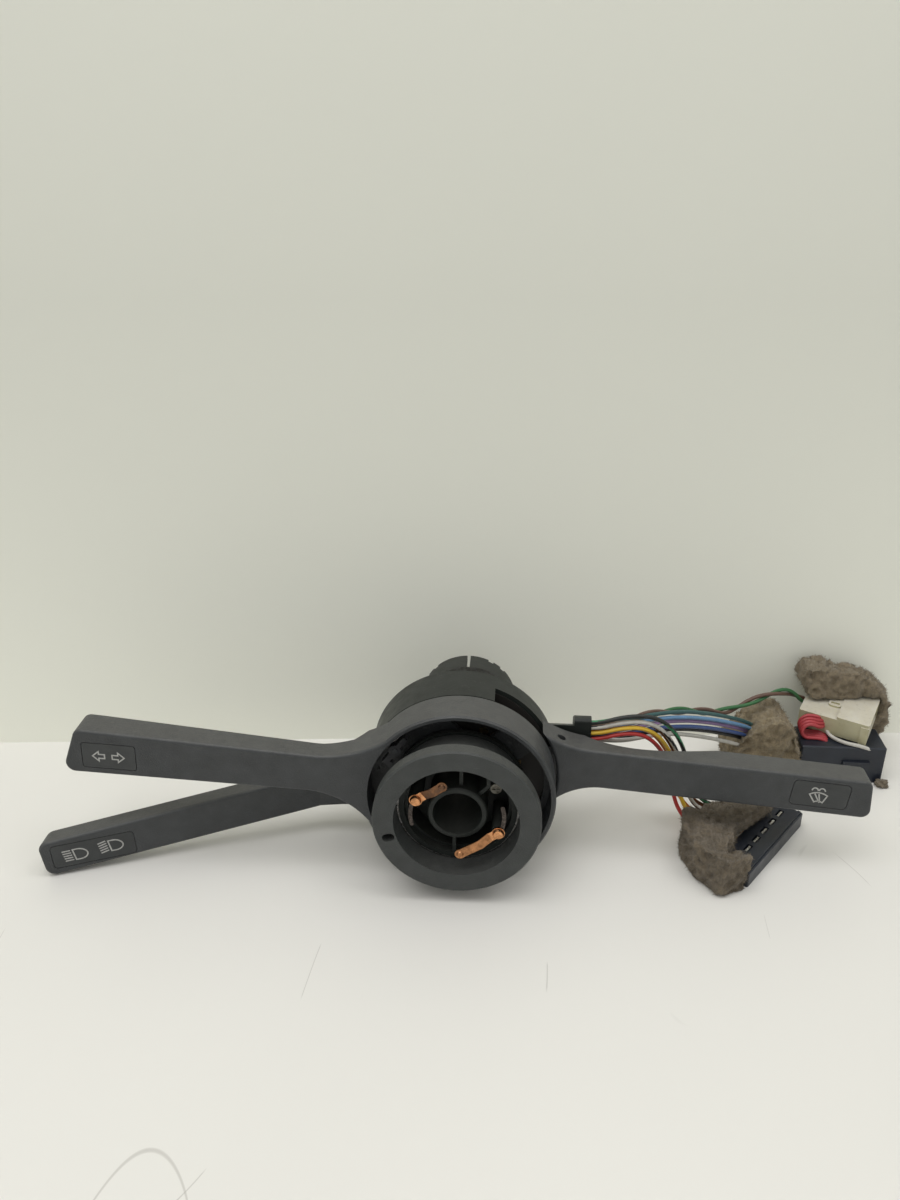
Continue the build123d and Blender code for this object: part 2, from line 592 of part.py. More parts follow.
# ================================================================ indicator lever
# elevation of the arm, seen by the driver: it springs tangentially from the ring and flares outwards
BALL_HEIGHT = CORE_FRONT + FLANGE_T / 2
IND_BALL_AT = FLANGE_R + BALL_R + 0.1
IND_BALL_ANGLE = 330.0
PAWL_ANGLE = 142.0
PAWL_AT = 36.4
PAWL_BACK = SKIRT_BACK + 2.3
PAWL_T = 2.8
STUD_R = 1.3
with BuildPart() as indicator_lever:
    # arm: the driver's view of it, cut to its depth by the view from above
    with BuildSketch(station(LEVER_BACK)):
        with BuildLine():
            top = Line(left(22.4, 20.4), left(129, 29.6))
            tip = Line(top @ 1, left(137.6, 7.2))
            bottom = Line(tip @ 1, left(26.4, 1.6))
            upper_flare = ThreePointArc(top @ 0, left(5.4, 21.9), polar(DRUM_R, 137))
            lower_flare = ThreePointArc(bottom @ 1, left(6.9, -5.2), polar(DRUM_R, 214))
            Line(lower_flare @ 1, upper_flare @ 1)
        make_face()
    extrude(amount=LEVER_RING_DEPTH)
    with BuildSketch(Plane.XY.offset(-60)):
        with BuildLine():
            Polyline(
                *turned(
                    left(-13.6, LEVER_FRONT),
                    left(156.4, LEVER_FRONT),
                    left(156.4, LEVER_FRONT - INDICATOR_TIP_DEPTH),
                    left(121.4, LEVER_FRONT - INDICATOR_TIP_DEPTH),
                    left(18.4, LEVER_FRONT - INDICATOR_DEPTH),
                    left(4.4, LEVER_FRONT - INDICATOR_DEPTH - 1.5),
                    left(-1.6, LEVER_BACK + 1),
                    left(-13.6, LEVER_BACK + 1),
                ),
                close=True,
            )
        make_face()
    extrude(amount=120, mode=Mode.INTERSECT)
    tip_edges = indicator_lever.edges().filter_by(Axis.Y).group_by(Axis.X)[0]
    tip_edges += indicator_lever.edges().filter_by(Axis.Y).group_by(Axis.X)[1]
    fillet(tip_edges, radius=4.5)
    front = indicator_lever.faces().sort_by(Axis.Y)[0]
    fillet(front.edges().filter_by(lambda e: e.center().X < -(DRUM_R + 2.4)), radius=EDGE_R)
    # ring, web and hub
    with BuildSketch(Plane.XY):
        with BuildLine():
            Polyline(
                *turned(
                    (DRUM_R, LEVER_BACK),
                    (DRUM_R, LEVER_FRONT - 0.8),
                    (DRUM_R - 0.8, LEVER_FRONT),
                    (DRUM_BORE_R, LEVER_FRONT),
                    (DRUM_BORE_R, LEVER_BACK + WEB_T),
                    (HUB_R, LEVER_BACK + WEB_T),
                    (HUB_R, LEVER_BACK + HUB_LENGTH),
                    (CORE_R + TURN_FIT, LEVER_BACK + HUB_LENGTH),
                    (CORE_R + TURN_FIT, LEVER_BACK),
                ),
                close=True,
            )
        make_face()
    revolve(axis=Axis.Y)
    with BuildSketch(station(LEVER_BACK + WEB_T)):
        Circle(DRUM_BORE_R)
    extrude(amount=LEVER_RING_DEPTH, mode=Mode.SUBTRACT)
    with BuildSketch(station(LEVER_BACK)):
        Circle(HUB_R)
        Circle(CORE_R + TURN_FIT, mode=Mode.SUBTRACT)
    extrude(amount=HUB_LENGTH)
    # windows between the spokes of the web
    with BuildSketch(station(LEVER_BACK)):
        Circle(DRUM_BORE_R - 3)
        Circle(HUB_R + 3, mode=Mode.SUBTRACT)
        with PolarLocations(DRUM_R / 2, 5, start_angle=IND_BALL_ANGLE):
            Rectangle(DRUM_R, 17, mode=Mode.SUBTRACT)
        with Locations(polar(DRUM_R / 2, PAWL_ANGLE)):
            Circle(DRUM_R / 2, mode=Mode.SUBTRACT)
    extrude(amount=WEB_T, mode=Mode.SUBTRACT)
    # boss of the detent ball
    with BuildSketch(arm_plane(LEVER_BACK, IND_BALL_ANGLE)):
        with Locations(((IND_BALL_AT + 1.2 + DRUM_BORE_R + 0.8) / 2, 0)):
            Rectangle(DRUM_BORE_R + 0.8 - IND_BALL_AT - 1.2, 7)
    extrude(amount=BALL_HEIGHT + BALL_R + 1.2 - LEVER_BACK)
    with BuildSketch(detent_seat(BALL_HEIGHT, IND_BALL_ANGLE, IND_BALL_AT - BALL_R, 1)):
        Circle(BALL_R + TURN_FIT)
    extrude(amount=9.4, mode=Mode.SUBTRACT)
    # stud of the cancel pawl
    with BuildSketch(arm_plane(LEVER_BACK, PAWL_ANGLE)):
        with Locations((PAWL_AT, 0)):
            Circle(STUD_R + 1.3)
    extrude(amount=PAWL_BACK - 0.2 - LEVER_BACK)
    with BuildSketch(arm_plane(PAWL_BACK - 1, PAWL_ANGLE)):
        with Locations((PAWL_AT, 0)):
            Circle(STUD_R)
    extrude(amount=PAWL_T + 1.4)
    # recess of the symbol plate
    with BuildSketch(station(LEVER_FRONT)):
        with Locations(Location((*left(*IND_PLATE[:2]), 0), (0, 0, IND_PLATE[4]))):
            RectangleRounded(IND_PLATE[2], IND_PLATE[3], 1.6)
    extrude(amount=-PLATE_T, mode=Mode.SUBTRACT)
finish(indicator_lever, "indicator_lever")

# symbol plate, detent and contact bridge of the indicator lever
with BuildPart() as indicator_plate:
    with BuildSketch(station(LEVER_FRONT - PLATE_T)):
        with Locations(Location((*left(*IND_PLATE[:2]), 0), (0, 0, IND_PLATE[4]))):
            RectangleRounded(IND_PLATE[2] - 2 * PLATE_GAP, IND_PLATE[3] - 2 * PLATE_GAP, 1.6 - PLATE_GAP)
    extrude(amount=PLATE_T)
finish(indicator_plate, "indicator_plate")

with BuildPart() as indicator_detent_ball:
    with Locations(detent_seat(BALL_HEIGHT, IND_BALL_ANGLE, IND_BALL_AT, 1).origin):
        Sphere(BALL_R)
finish(indicator_detent_ball, "indicator_detent_ball")

ind_seat = detent_seat(BALL_HEIGHT, IND_BALL_ANGLE, IND_BALL_AT + BALL_R, 1)
ind_far = ind_seat.origin + ind_seat.z_dir * 5.2
indicator_detent_spring = spring_coil(
    tuple(ind_seat.origin), tuple(ind_far), SPRING_R, SPRING_WIRE, 3
)
finish(indicator_detent_spring, "indicator_detent_spring")

with BuildPart() as indicator_bridge:
    with BuildSketch(arm_plane(LEVER_BACK - BRIDGE_T, 50)):
        Circle(CORE_R + 5.5)
        Rectangle(2 * CORE_R + 20, 15, mode=Mode.INTERSECT)
        Circle(CORE_R + 1.5, mode=Mode.SUBTRACT)
    extrude(amount=BRIDGE_T)
finish(indicator_bridge, "indicator_bridge")

# ================================================================ cancel pawl
with BuildPart() as cancel_pawl:
    with BuildSketch(arm_plane(PAWL_BACK, PAWL_ANGLE)):
        with Locations((PAWL_AT, 0)):
            Circle(STUD_R + 1.5)
            with Locations((-0.2, 4.5)):
                Rectangle(2.6, 7)
            with Locations((0.2, -4.5)):
                Rectangle(2.2, 7)
        with Locations((PAWL_AT - 1.6, 7)):
            Rectangle(3.4, 2.2)
    extrude(amount=PAWL_T)
    with BuildSketch(arm_plane(PAWL_BACK, PAWL_ANGLE)):
        with Locations((PAWL_AT, 0)):
            Circle(STUD_R + TURN_FIT)
    extrude(amount=PAWL_T, mode=Mode.SUBTRACT)
finish(cancel_pawl, "cancel_pawl")

with BuildPart() as pawl_spring:
    with BuildSketch(arm_plane(PAWL_BACK + 0.4, PAWL_ANGLE)):
        with BuildLine():
            leaf = Polyline((PAWL_AT + 4.3, -1), (PAWL_AT + 2.75, -5), (PAWL_AT + 2.9, -12))
            offset(leaf, amount=0.2, side=Side.LEFT)
        make_face()
    extrude(amount=PAWL_T - 0.8)
finish(pawl_spring, "pawl_spring")

# ================================================================ contact carrier
with BuildPart() as contact_carrier:
    with BuildSketch(Plane.XY):
        with BuildLine():
            Polyline(
                *turned(
                    (SHAFT_BORE_R, CORE_FRONT - 8),
                    (CORE_BORE_R - SEAT_FIT, CORE_FRONT - 8),
                    (CORE_BORE_R - SEAT_FIT, CORE_FRONT),
                    (FLANGE_R, CORE_FRONT),
                    (FLANGE_R, FLANGE_FRONT),
                    (CUP_R, FLANGE_FRONT),
                    (CUP_R, CUP_FRONT),
                    (CUP_BORE_R, CUP_FRONT),
                    (CUP_BORE_R, CUP_LEDGE_FRONT),
                    (CUP_BORE_R - CUP_LEDGE, CUP_LEDGE_FRONT),
                    (CUP_BORE_R - CUP_LEDGE, FLANGE_FRONT),
                    (TUBE_R, FLANGE_FRONT),
                    (TUBE_R, TUBE_FRONT - 0.6),
                    (TUBE_R - 0.6, TUBE_FRONT),
                    (SHAFT_BORE_R, TUBE_FRONT),
                ),
                close=True,
            )
        make_face()
    revolve(axis=Axis.Y)
    # groove of the retaining clip
    with BuildSketch(station(LAND_FRONT + 0.3)):
        Circle(CUP_R)
        Circle(CUP_R - 0.8, mode=Mode.SUBTRACT)
    extrude(amount=CLIP_T + 0.1, mode=Mode.SUBTRACT)
    # ribs between the tube and the cup, the same again half a turn round
    with BuildSketch(station(FLANGE_FRONT)):
        with PolarLocations(0, 2):
            with Locations((1.5, (TUBE_R + CUP_BORE_R) / 2)):
                Rectangle(RIB_T, CUP_BORE_R - TUBE_R)
            with BuildLine():
                bent = Polyline((13.4, 19.5), (13.4, 13.2), (9.0, 8.6))
                offset(bent, amount=RIB_T / 2, side=Side.BOTH)
            make_face()
        Circle(TUBE_R - 1, mode=Mode.SUBTRACT)
    extrude(amount=RIB_FRONT - FLANGE_FRONT)
    # posts of the horn contacts
    with BuildSketch(station(FLANGE_FRONT)):
        for head in HORN_HEADS:
            with Locations(polar(HEAD_RADIUS, head)):
                Circle(POST_R)
    extrude(amount=POST_FRONT - FLANGE_FRONT)
    # holes for the carrier screws and for the rivet shanks
    with BuildSketch(station(FLANGE_FRONT)):
        with PolarLocations(CARRIER_SCREW_AT, 3, start_angle=5):
            Circle(SCREW_R + HOLE_PLAY)
    extrude(amount=-FLANGE_T, mode=Mode.SUBTRACT)
    with BuildSketch(station(POST_FRONT)):
        for head in HORN_HEADS:
            with Locations(polar(HEAD_RADIUS, head)):
                Circle(1.3)
    extrude(amount=-6, mode=Mode.SUBTRACT)
    # detent grooves of the indicator lever in the rim of the flange
    with BuildSketch(station(CORE_FRONT)):
        for turn in (-INDICATOR_SWING, 0, INDICATOR_SWING):
            with Locations(polar(FLANGE_R - NOTCH_DEPTH + BALL_R + 0.1, IND_BALL_ANGLE + turn)):
                Circle(BALL_R + 0.1)
    extrude(amount=FLANGE_T, mode=Mode.SUBTRACT)
finish(contact_carrier, "contact_carrier")

with BuildPart() as carrier_screws:
    with BuildSketch(station(FLANGE_FRONT)):
        with PolarLocations(CARRIER_SCREW_AT, 3, start_angle=5):
            Circle(SCREW_R)
    extrude(amount=-9)
    with BuildSketch(station(FLANGE_FRONT)):
        with PolarLocations(CARRIER_SCREW_AT, 3, start_angle=5):
            Circle(SCREW_HEAD_R)
    extrude(amount=SCREW_HEAD_T)
    with BuildSketch(station(FLANGE_FRONT + SCREW_HEAD_T)):
        with PolarLocations(CARRIER_SCREW_AT, 3, start_angle=5):
            Rectangle(3.6, 0.8)
            Rectangle(0.8, 3.6)
    extrude(amount=-0.9, mode=Mode.SUBTRACT)
finish(carrier_screws, "carrier_screws")

# ================================================================ cancel ring and its clip
SKIRT_R = RING_BORE_R + 1.4
with BuildPart() as cancel_ring:
    with BuildSketch(Plane.XY):
        with BuildLine():
            Polyline(
                *turned(
                    (RING_BORE_R, RING_FACE),
                    (RING_R - 0.7, RING_FACE),
                    (RING_R, RING_FACE - 0.7),
                    (RING_R, RING_FACE - RING_PLATE_T),
                    (SKIRT_R, RING_FACE - RING_PLATE_T),
                    (SKIRT_R, SKIRT_BACK),
                    (CUP_R + TURN_FIT, SKIRT_BACK),
                    (CUP_R + TURN_FIT, LAND_FRONT),
                    (RING_BORE_R, LAND_FRONT),
                ),
                close=True,
            )
        make_face()
    revolve(axis=Axis.Y)
    # two cams that push the pawl back once the wheel has turned
    with BuildSketch(station(PAWL_BACK)):
        with PolarLocations(SKIRT_R + LOBE_RISE / 2 - 0.5, 2, start_angle=20):
            Rectangle(LOBE_RISE + 1, 5)
    extrude(amount=LOBE_T)
    with BuildSketch(station(RING_FACE)):
        with Locations(Location((*polar(PEG_R, PEG_ANGLE), 0), (0, 0, PEG_ANGLE))):
            SlotOverall(PEG_LENGTH, PEG_WIDTH)
    extrude(amount=-5, mode=Mode.SUBTRACT)
finish(cancel_ring, "cancel_ring")

with BuildPart() as ring_clip:
    with BuildSketch(station(LAND_FRONT + 0.3)):
        Circle(CUP_R + 0.9)
        Circle(CUP_R - 0.75, mode=Mode.SUBTRACT)
        with Locations(polar(CUP_R, -90)):
            Rectangle(6, 6, mode=Mode.SUBTRACT)
    extrude(amount=CLIP_T)
finish(ring_clip, "ring_clip")

# ================================================================ horn contacts
with BuildPart() as horn_terminals:
    with BuildSketch(station(POST_FRONT)):
        for head in HORN_HEADS:
            with Locations(polar(HEAD_RADIUS, head)):
                Circle(POST_R - 0.2)
            with BuildLine():
                inner_arc = CenterArc((0, 0), HEAD_RADIUS - 0.1, head, TERMINAL_SWEEP)
                outer_arc = CenterArc((0, 0), HEAD_RADIUS - 0.1 + TERMINAL_W, head, TERMINAL_SWEEP)
                Line(inner_arc @ 0, outer_arc @ 0)
                Line(inner_arc @ 1, outer_arc @ 1)
            make_face()
            with Locations(polar(HEAD_RADIUS + TERMINAL_W / 2 - 0.1, head + TERMINAL_SWEEP)):
                Circle(TERMINAL_W / 2)
        for head in HORN_HEADS:
            with Locations(polar(HEAD_RADIUS, head)):
                Circle(1.3, mode=Mode.SUBTRACT)
    extrude(amount=TERMINAL_T)
finish(horn_terminals, "horn_terminals")

FOOT_BACK = POST_FRONT + TERMINAL_T


def blade_plane(start, turn, along):
    """Plane along a horn strip: x along the strip, y towards the driver, origin on the foot's back."""
    return Plane(
        origin=(start[0] + along * cos(turn), -FOOT_BACK, start[1] + along * sin(turn)),
        x_dir=(cos(turn), 0, sin(turn)),
        z_dir=(sin(turn), 0, -cos(turn)),
    )


def foot_plane(start, turn):
    """Plane across the column, x along a horn strip."""
    return Plane(
        origin=(start[0], -FOOT_BACK, start[1]),
        x_dir=(cos(turn), 0, sin(turn)),
        z_dir=(0, -1, 0),
    )


horn_strips = []
for head, (tip_angle, tip_r) in zip(HORN_HEADS, HORN_TIPS):
    start = polar(HEAD_RADIUS, head)
    end = polar(tip_r, tip_angle)
    turn = atan2(end[1] - start[1], end[0] - start[0])
    horn_strips.append((start, turn, hypot(end[0] - start[0], end[1] - start[1])))

with BuildPart() as horn_feet:
    for start, turn, length in horn_strips:
        with BuildSketch(foot_plane(start, turn)):
            Circle(POST_R - 0.1)
            with Locations((HORN_FOOT / 2, 0)):
                Rectangle(HORN_FOOT, STRIP_W)
            Circle(1.3, mode=Mode.SUBTRACT)
        extrude(amount=STRIP_T)
finish(horn_feet, "horn_feet")

with BuildPart() as horn_rivets:
    for start, turn, length in horn_strips:
        with BuildSketch(foot_plane(start, turn)):
            Circle(1.2)
        extrude(amount=-5)
        with BuildSketch(foot_plane(start, turn)):
            Circle(1.2)
        extrude(amount=STRIP_T)
        with BuildSketch(foot_plane(start, turn).offset(STRIP_T)):
            Circle(2.6)
        extrude(amount=1.3, taper=24)
finish(horn_rivets, "horn_rivets")

for blade_name, (start, turn, length) in zip(("horn_blade_upper", "horn_blade_lower"), horn_strips):
    reach = length - HORN_FOOT
    with BuildPart() as horn_blade:
        with BuildSketch(blade_plane(start, turn, HORN_FOOT + 0.03)):
            with BuildLine():
                Polyline(
                    (0, 0),
                    (HORN_RAMP, HORN_RISE),
                    (reach, HORN_RISE),
                    (reach, HORN_RISE + STRIP_T),
                    (HORN_RAMP - 0.1, HORN_RISE + STRIP_T),
                    (0, STRIP_T),
                    close=True,
                )
            make_face()
        extrude(amount=STRIP_W / 2, both=True)
        with BuildSketch(foot_plane(start, turn).offset(HORN_RISE)):
            with Locations((length, 0)):
                Circle(TIP_R)
        extrude(amount=STRIP_T)
        with BuildSketch(foot_plane(start, turn).offset(HORN_RISE + STRIP_T)):
            with Locations((length, 0)):
                Circle(1.5)
        extrude(amount=0.6, taper=35)
    finish(horn_blade, blade_name)

# ================================================================ wiper stalk
WIPER_MID = WIPER_ROTOR_BACK + WIPER_ROTOR_T / 2
LIGHT_MID = LIGHT_ROTOR_BACK + LIGHT_ROTOR_T / 2


def pull_pocket(tongue_t):
    """Outline of the pocket for a hub's tongue, in the pivot plane: x rearwards, y outwards."""
    inner = 1.2 * (PIVOT_R - ROOT_R) + 4
    outer = TONGUE_END - PIVOT_R + PIVOT_GAP
    with Locations((0, (outer - inner) / 2)):
        Rectangle(tongue_t + 2 * PIVOT_GAP, outer + inner)


with BuildPart() as wiper_lever:
    with BuildSketch(station(WIPER_BACK)):
        with BuildLine():
            top = Line(right(17.4, 15.7), right(143.8, 4.2))
            tip = Line(top @ 1, right(145.2, -15.6))
            bottom = Line(tip @ 1, right(22.4, -4.6))
            upper_flare = TangentArc(top @ 0, polar(ROOT_R, 33), tangent=-(top % 0))
            lower_flare = TangentArc(bottom @ 1, polar(ROOT_R, -18), tangent=bottom % 1)
            ThreePointArc(lower_flare @ 1, (ROOT_R, 0), upper_flare @ 1)
        make_face()
    extrude(amount=WIPER_FRONT - WIPER_BACK)
    with BuildSketch(Plane.XY.offset(-60)):
        with BuildLine():
            back = Polyline(
                *turned(
                    right(-13.6, WIPER_FRONT),
                    right(156.4, WIPER_FRONT),
                    right(156.4, WIPER_BACK - 0.6),
                    right(130.4, WIPER_BACK - 0.4),
                )
            )
            rear_bend = Spline(
                back @ 1,
                *turned(
                    right(56.4, WIPER_BACK + 4.2), right(22.4, WIPER_BACK + 4), right(13.4, WIPER_BACK)
                ),
            )
            Polyline(rear_bend @ 1, *turned(right(-13.6, WIPER_BACK), right(-13.6, WIPER_FRONT)))
        make_face()
    extrude(amount=120, mode=Mode.INTERSECT)
    tip_edges = wiper_lever.edges().filter_by(Axis.Y).group_by(Axis.X)
    fillet(tip_edges[-1] + tip_edges[-2], radius=4)
    front = wiper_lever.faces().sort_by(Axis.Y)[0]
    fillet(front.edges(), radius=EDGE_R)
    with BuildSketch(pivot_plane(WIPER_MID, WIPER_ANGLE)):
        pull_pocket(WIPER_TONGUE_T)
    extrude(amount=WIPER_TONGUE_W / 2 + PIVOT_GAP / 2, both=True, mode=Mode.SUBTRACT)
    with BuildSketch(pivot_plane(WIPER_MID, WIPER_ANGLE)):
        Circle(PIN_R + TURN_FIT)
    extrude(amount=40, both=True, mode=Mode.SUBTRACT)
    with BuildSketch(station(WIPER_FRONT)):
        with Locations(Location((*right(*WIPER_PLATE[:2]), 0), (0, 0, WIPER_PLATE[4]))):
            RectangleRounded(WIPER_PLATE[2], WIPER_PLATE[3], 2.4)
    extrude(amount=-PLATE_T, mode=Mode.SUBTRACT)
finish(wiper_lever, "wiper_lever")

with BuildPart() as wiper_plate:
    with BuildSketch(station(WIPER_FRONT - PLATE_T)):
        with Locations(Location((*right(*WIPER_PLATE[:2]), 0), (0, 0, WIPER_PLATE[4]))):
            RectangleRounded(WIPER_PLATE[2] - 2 * PLATE_GAP, WIPER_PLATE[3] - 2 * PLATE_GAP, 2.4 - PLATE_GAP)
    extrude(amount=PLATE_T)
finish(wiper_plate, "wiper_plate")

# ================================================================ light stalk, cranked forwards
with BuildPart() as light_lever:
    with BuildSketch(station(LIGHT_BACK)):
        with BuildLine():
            top = Line(left(20.4, -8.8), left(149.8, TABLE_Z + 18.8))
            tip = Line(top @ 1, left(147.6, TABLE_Z + 0.3))
            bottom = Line(tip @ 1, left(18.4, -27.8))
            upper_flare = TangentArc(top @ 0, polar(ROOT_R, 184), tangent=-(top % 0))
            lower_flare = TangentArc(bottom @ 1, polar(ROOT_R, 220), tangent=bottom % 1)
            ThreePointArc(lower_flare @ 1, polar(ROOT_R, 202), upper_flare @ 1)
        make_face()
    extrude(amount=LIGHT_FRONT - LIGHT_BACK + CRANK_RISE)
    with BuildSketch(Plane.XY.offset(-60)):
        with BuildLine():
            Polyline(
                *turned(
                    left(-13.6, LIGHT_FRONT),
                    (CRANK_X, LIGHT_FRONT),
                    (CRANK_X - CRANK_RUN, LIGHT_FRONT + CRANK_RISE),
                    (CRANK_X - CRANK_RUN, LIGHT_FRONT + CRANK_RISE - LIGHT_DEPTH),
                    (CRANK_X, LIGHT_FRONT - LIGHT_DEPTH),
                    (CRANK_X + 12, LIGHT_BACK),
                    left(-13.6, LIGHT_BACK),
                ),
                close=True,
            )
        make_face()
    extrude(amount=120, mode=Mode.INTERSECT)
    tip_edges = light_lever.edges().filter_by(Axis.Y).group_by(Axis.X)
    fillet(tip_edges[0] + tip_edges[1], radius=4.5)
    lean = Plane(
        origin=(CRANK_X, -LIGHT_FRONT, 0),
        x_dir=(-cos(radians(CRANK)), -sin(radians(CRANK)), 0),
        z_dir=(sin(radians(CRANK)), -cos(radians(CRANK)), 0),
    )
    lean_faces = light_lever.faces().filter_by(lambda f: f.normal_at().dot(lean.z_dir) > 0.999)
    root_faces = light_lever.faces().filter_by(lambda f: f.normal_at().Y < -0.999)
    rim = lean_faces.sort_by(Axis.Y)[0].edges() + root_faces.sort_by(Axis.Y)[0].edges()
    fillet([e for e in rim if abs(e.center().X - CRANK_X) > 0.1], radius=EDGE_R)
    with BuildSketch(pivot_plane(LIGHT_MID, LIGHT_ANGLE)):
        pull_pocket(LIGHT_TONGUE_T)
    extrude(amount=LIGHT_TONGUE_W / 2 + PIVOT_GAP / 2, both=True, mode=Mode.SUBTRACT)
    with BuildSketch(pivot_plane(LIGHT_MID, LIGHT_ANGLE)):
        Circle(PIN_R + TURN_FIT)
    extrude(amount=40, both=True, mode=Mode.SUBTRACT)
    with BuildSketch(lean):
        with Locations(Location((LIGHT_PLATE[0], LIGHT_PLATE[1], 0), (0, 0, LIGHT_PLATE[4]))):
            RectangleRounded(LIGHT_PLATE[2], LIGHT_PLATE[3], 2.0)
    extrude(amount=-PLATE_T, mode=Mode.SUBTRACT)
finish(light_lever, "light_lever")

with BuildPart() as light_plate:
    with BuildSketch(lean.offset(-PLATE_T)):
        with Locations(Location((LIGHT_PLATE[0], LIGHT_PLATE[1], 0), (0, 0, LIGHT_PLATE[4]))):
            RectangleRounded(LIGHT_PLATE[2] - 2 * PLATE_GAP, LIGHT_PLATE[3] - 2 * PLATE_GAP, 2.0 - PLATE_GAP)
    extrude(amount=PLATE_T)
finish(light_plate, "light_plate")

# ================================================================ looms
WIRES = {
    "black_green_wire": [
        (57, -56, 21),
        (64, -56, 21),
        (75, -56.2, 25),
        (87, -55.5, 25.6),
        (97, -53.3, 19.5),
        (104.3, -50, 7),
        (109, -45.2, -7.6),
        (112.8, -42.1, -21.5),
        (119.4, -38.9, -33.2),
        (130, -35, -39),
        (144.8, -33.6, -39.5),
        (152.8, -39.6, -39.5),
    ],
    "brown_wire": [
        (57, -53.5, 16.9),
        (64, -53.5, 16.9),
        (74, -53.4, 20.2),
        (85.5, -52.6, 20.7),
        (93.3, -50.8, 15.2),
        (100, -47.6, 4.4),
        (104.7, -43, -8.2),
        (107.9, -39.9, -21.5),
        (114.5, -38.4, -33.2),
        (126.1, -37.9, -39),
        (140.6, -39.2, -39.5),
        (148.6, -45.2, -39.5),
    ],
    "white_black_wire": [
        (57, -56, 18.2),
        (64, -56, 18.2),
        (74, -56.2, 21.8),
        (85.5, -55.5, 22.4),
        (94.5, -53.5, 16.6),
        (101.4, -50.3, 5),
        (106, -45.8, -8.2),
        (109.3, -43.2, -21.5),
        (114.6, -42.3, -33.2),
        (123.8, -42.3, -39),
        (136.4, -44.8, -39.5),
        (144.4, -50.8, -39.5),
    ],
    "orange_wire": [
        (57, -53.5, 14.2),
        (64, -53.5, 14.2),
        (73.2, -53.4, 17),
        (84, -52.7, 17.5),
        (90.8, -51, 12.6),
        (97.2, -48, 2.8),
        (101.6, -43.6, -9),
        (104.3, -41, -21.5),
        (109.6, -41.7, -33.2),
        (119.8, -45.2, -39),
        (132.2, -50.4, -39.5),
        (140.2, -56.4, -39.5),
    ],
    "yellow_wire": [
        (57, -56, 15.2),
        (64, -56, 15.2),
        (73.5, -56.2, 18.6),
        (84, -55.5, 19.1),
        (92, -53.7, 13.9),
        (98.6, -50.6, 3.5),
        (103, -46.3, -8.8),
        (105.7, -44.1, -21.5),
        (109.8, -45.5, -33.2),
        (117.6, -49.6, -39),
        (128, -56, -39.5),
        (136, -62, -39.5),
    ],
    "red_wire": [
        (57, -56, 12),
        (64, -56, 12),
        (73, -56.2, 15.4),
        (82.5, -55.5, 15.8),
        (89.5, -53.9, 11.2),
        (95.8, -50.9, 2),
        (100.2, -46.8, -9.5),
        (102.5, -44.7, -21.5),
        (106.3, -47.2, -33.2),
        (114, -53.3, -39),
        (123.8, -61.6, -39.5),
        (131.8, -67.6, -39.5),
    ],
    "dark_green_wire": [
        (57, -51, 17.2),
        (65, -51, 17.2),
        (77, -47.6, 18.1),
        (91, -39.5, 16.8),
        (106, -30, 13.4),
        (121, -19, 6.2),
        (134.5, -8, -2.2),
        (146, 2, -10.4),
        (156, 7.4, -18.4),
        (167, 8, -26.6),
        (178.5, 8, -26.6),
    ],
    "light_blue_wire": [
        (57, -51, 14.6),
        (65, -51, 14.6),
        (77, -47.6, 15.5),
        (91, -39.5, 14.2),
        (106.9, -31.1, 10.8),
        (121.9, -20.1, 3.6),
        (135.4, -9.1, -4.8),
        (146.9, 0.9, -13),
        (156.9, 6.3, -21),
        (167.4, 6.9, -29.2),
        (178.5, 6.9, -29.2),
    ],
    "violet_wire": [
        (57, -51, 12),
        (65, -51, 12),
        (77, -47.6, 12.9),
        (91, -39.5, 11.6),
        (106, -30, 8.2),
        (121, -19, 1),
        (134.5, -8, -7.4),
        (146, 2, -15.6),
        (156, 7.4, -23.6),
        (167, 8, -31.8),
        (178.5, 8, -31.8),
    ],
    "dark_blue_wire": [
        (57, -51, 9.4),
        (65, -51, 9.4),
        (77, -47.6, 10.3),
        (91, -39.5, 9),
        (106.9, -31.1, 5.6),
        (121.9, -20.1, -1.6),
        (135.4, -9.1, -10),
        (146.9, 0.9, -18.2),
        (156.9, 6.3, -26.2),
        (167.4, 6.9, -34.4),
        (178.5, 6.9, -34.4),
    ],
}


def bend_radii(route):
    """Largest tidy bend radius at each inner point of a route."""
    radii = []
    for before, here, after in zip(route, route[1:], route[2:]):
        arriving = Vector(*here) - Vector(*before)
        leaving = Vector(*after) - Vector(*here)
        shorter = min(arriving.length, leaving.length)
        radii.append(0.45 * shorter / tan(radians(arriving.get_angle(leaving)) / 2))
    return radii


def run_cord(route, radius):
    """Round cord of straight runs joined by tangent arcs."""
    with BuildPart() as cord:
        with BuildLine() as path:
            FilletPolyline(*route, radius=bend_radii(route))
        with BuildSketch(Plane(origin=path.line @ 0, z_dir=path.line % 0)):
            Circle(radius)
        sweep(path=path.line)
    return cord


def twisted_route(route, turn_start, reach, steps):
    """Route of one core of a twisted pair: equal steps along a route, turned about it as it goes."""
    with BuildLine() as path:
        FilletPolyline(*route, radius=bend_radii(route))
    points = []
    for step in range(steps + 1):
        here = path.line @ (step / steps)
        along = path.line % (step / steps)
        side = along.cross(Vector(0, 0, 1)).normalized()
        turn = radians(turn_start + 60 * step)
        spot = here + side * (reach * cos(turn)) + along.cross(side) * (reach * sin(turn))
        points.append((spot.X, spot.Y, spot.Z))
    return points


for wire_name, route in WIRES.items():
    finish(run_cord(route, WIRE_R), wire_name)
for wire_name, turn_start in (("twisted_green_wire", 90), ("twisted_brown_wire", 270)):
    finish(run_cord(twisted_route(PAIR_ROUTE, turn_start, PAIR_REACH, PAIR_STEPS), WIRE_R), wire_name)

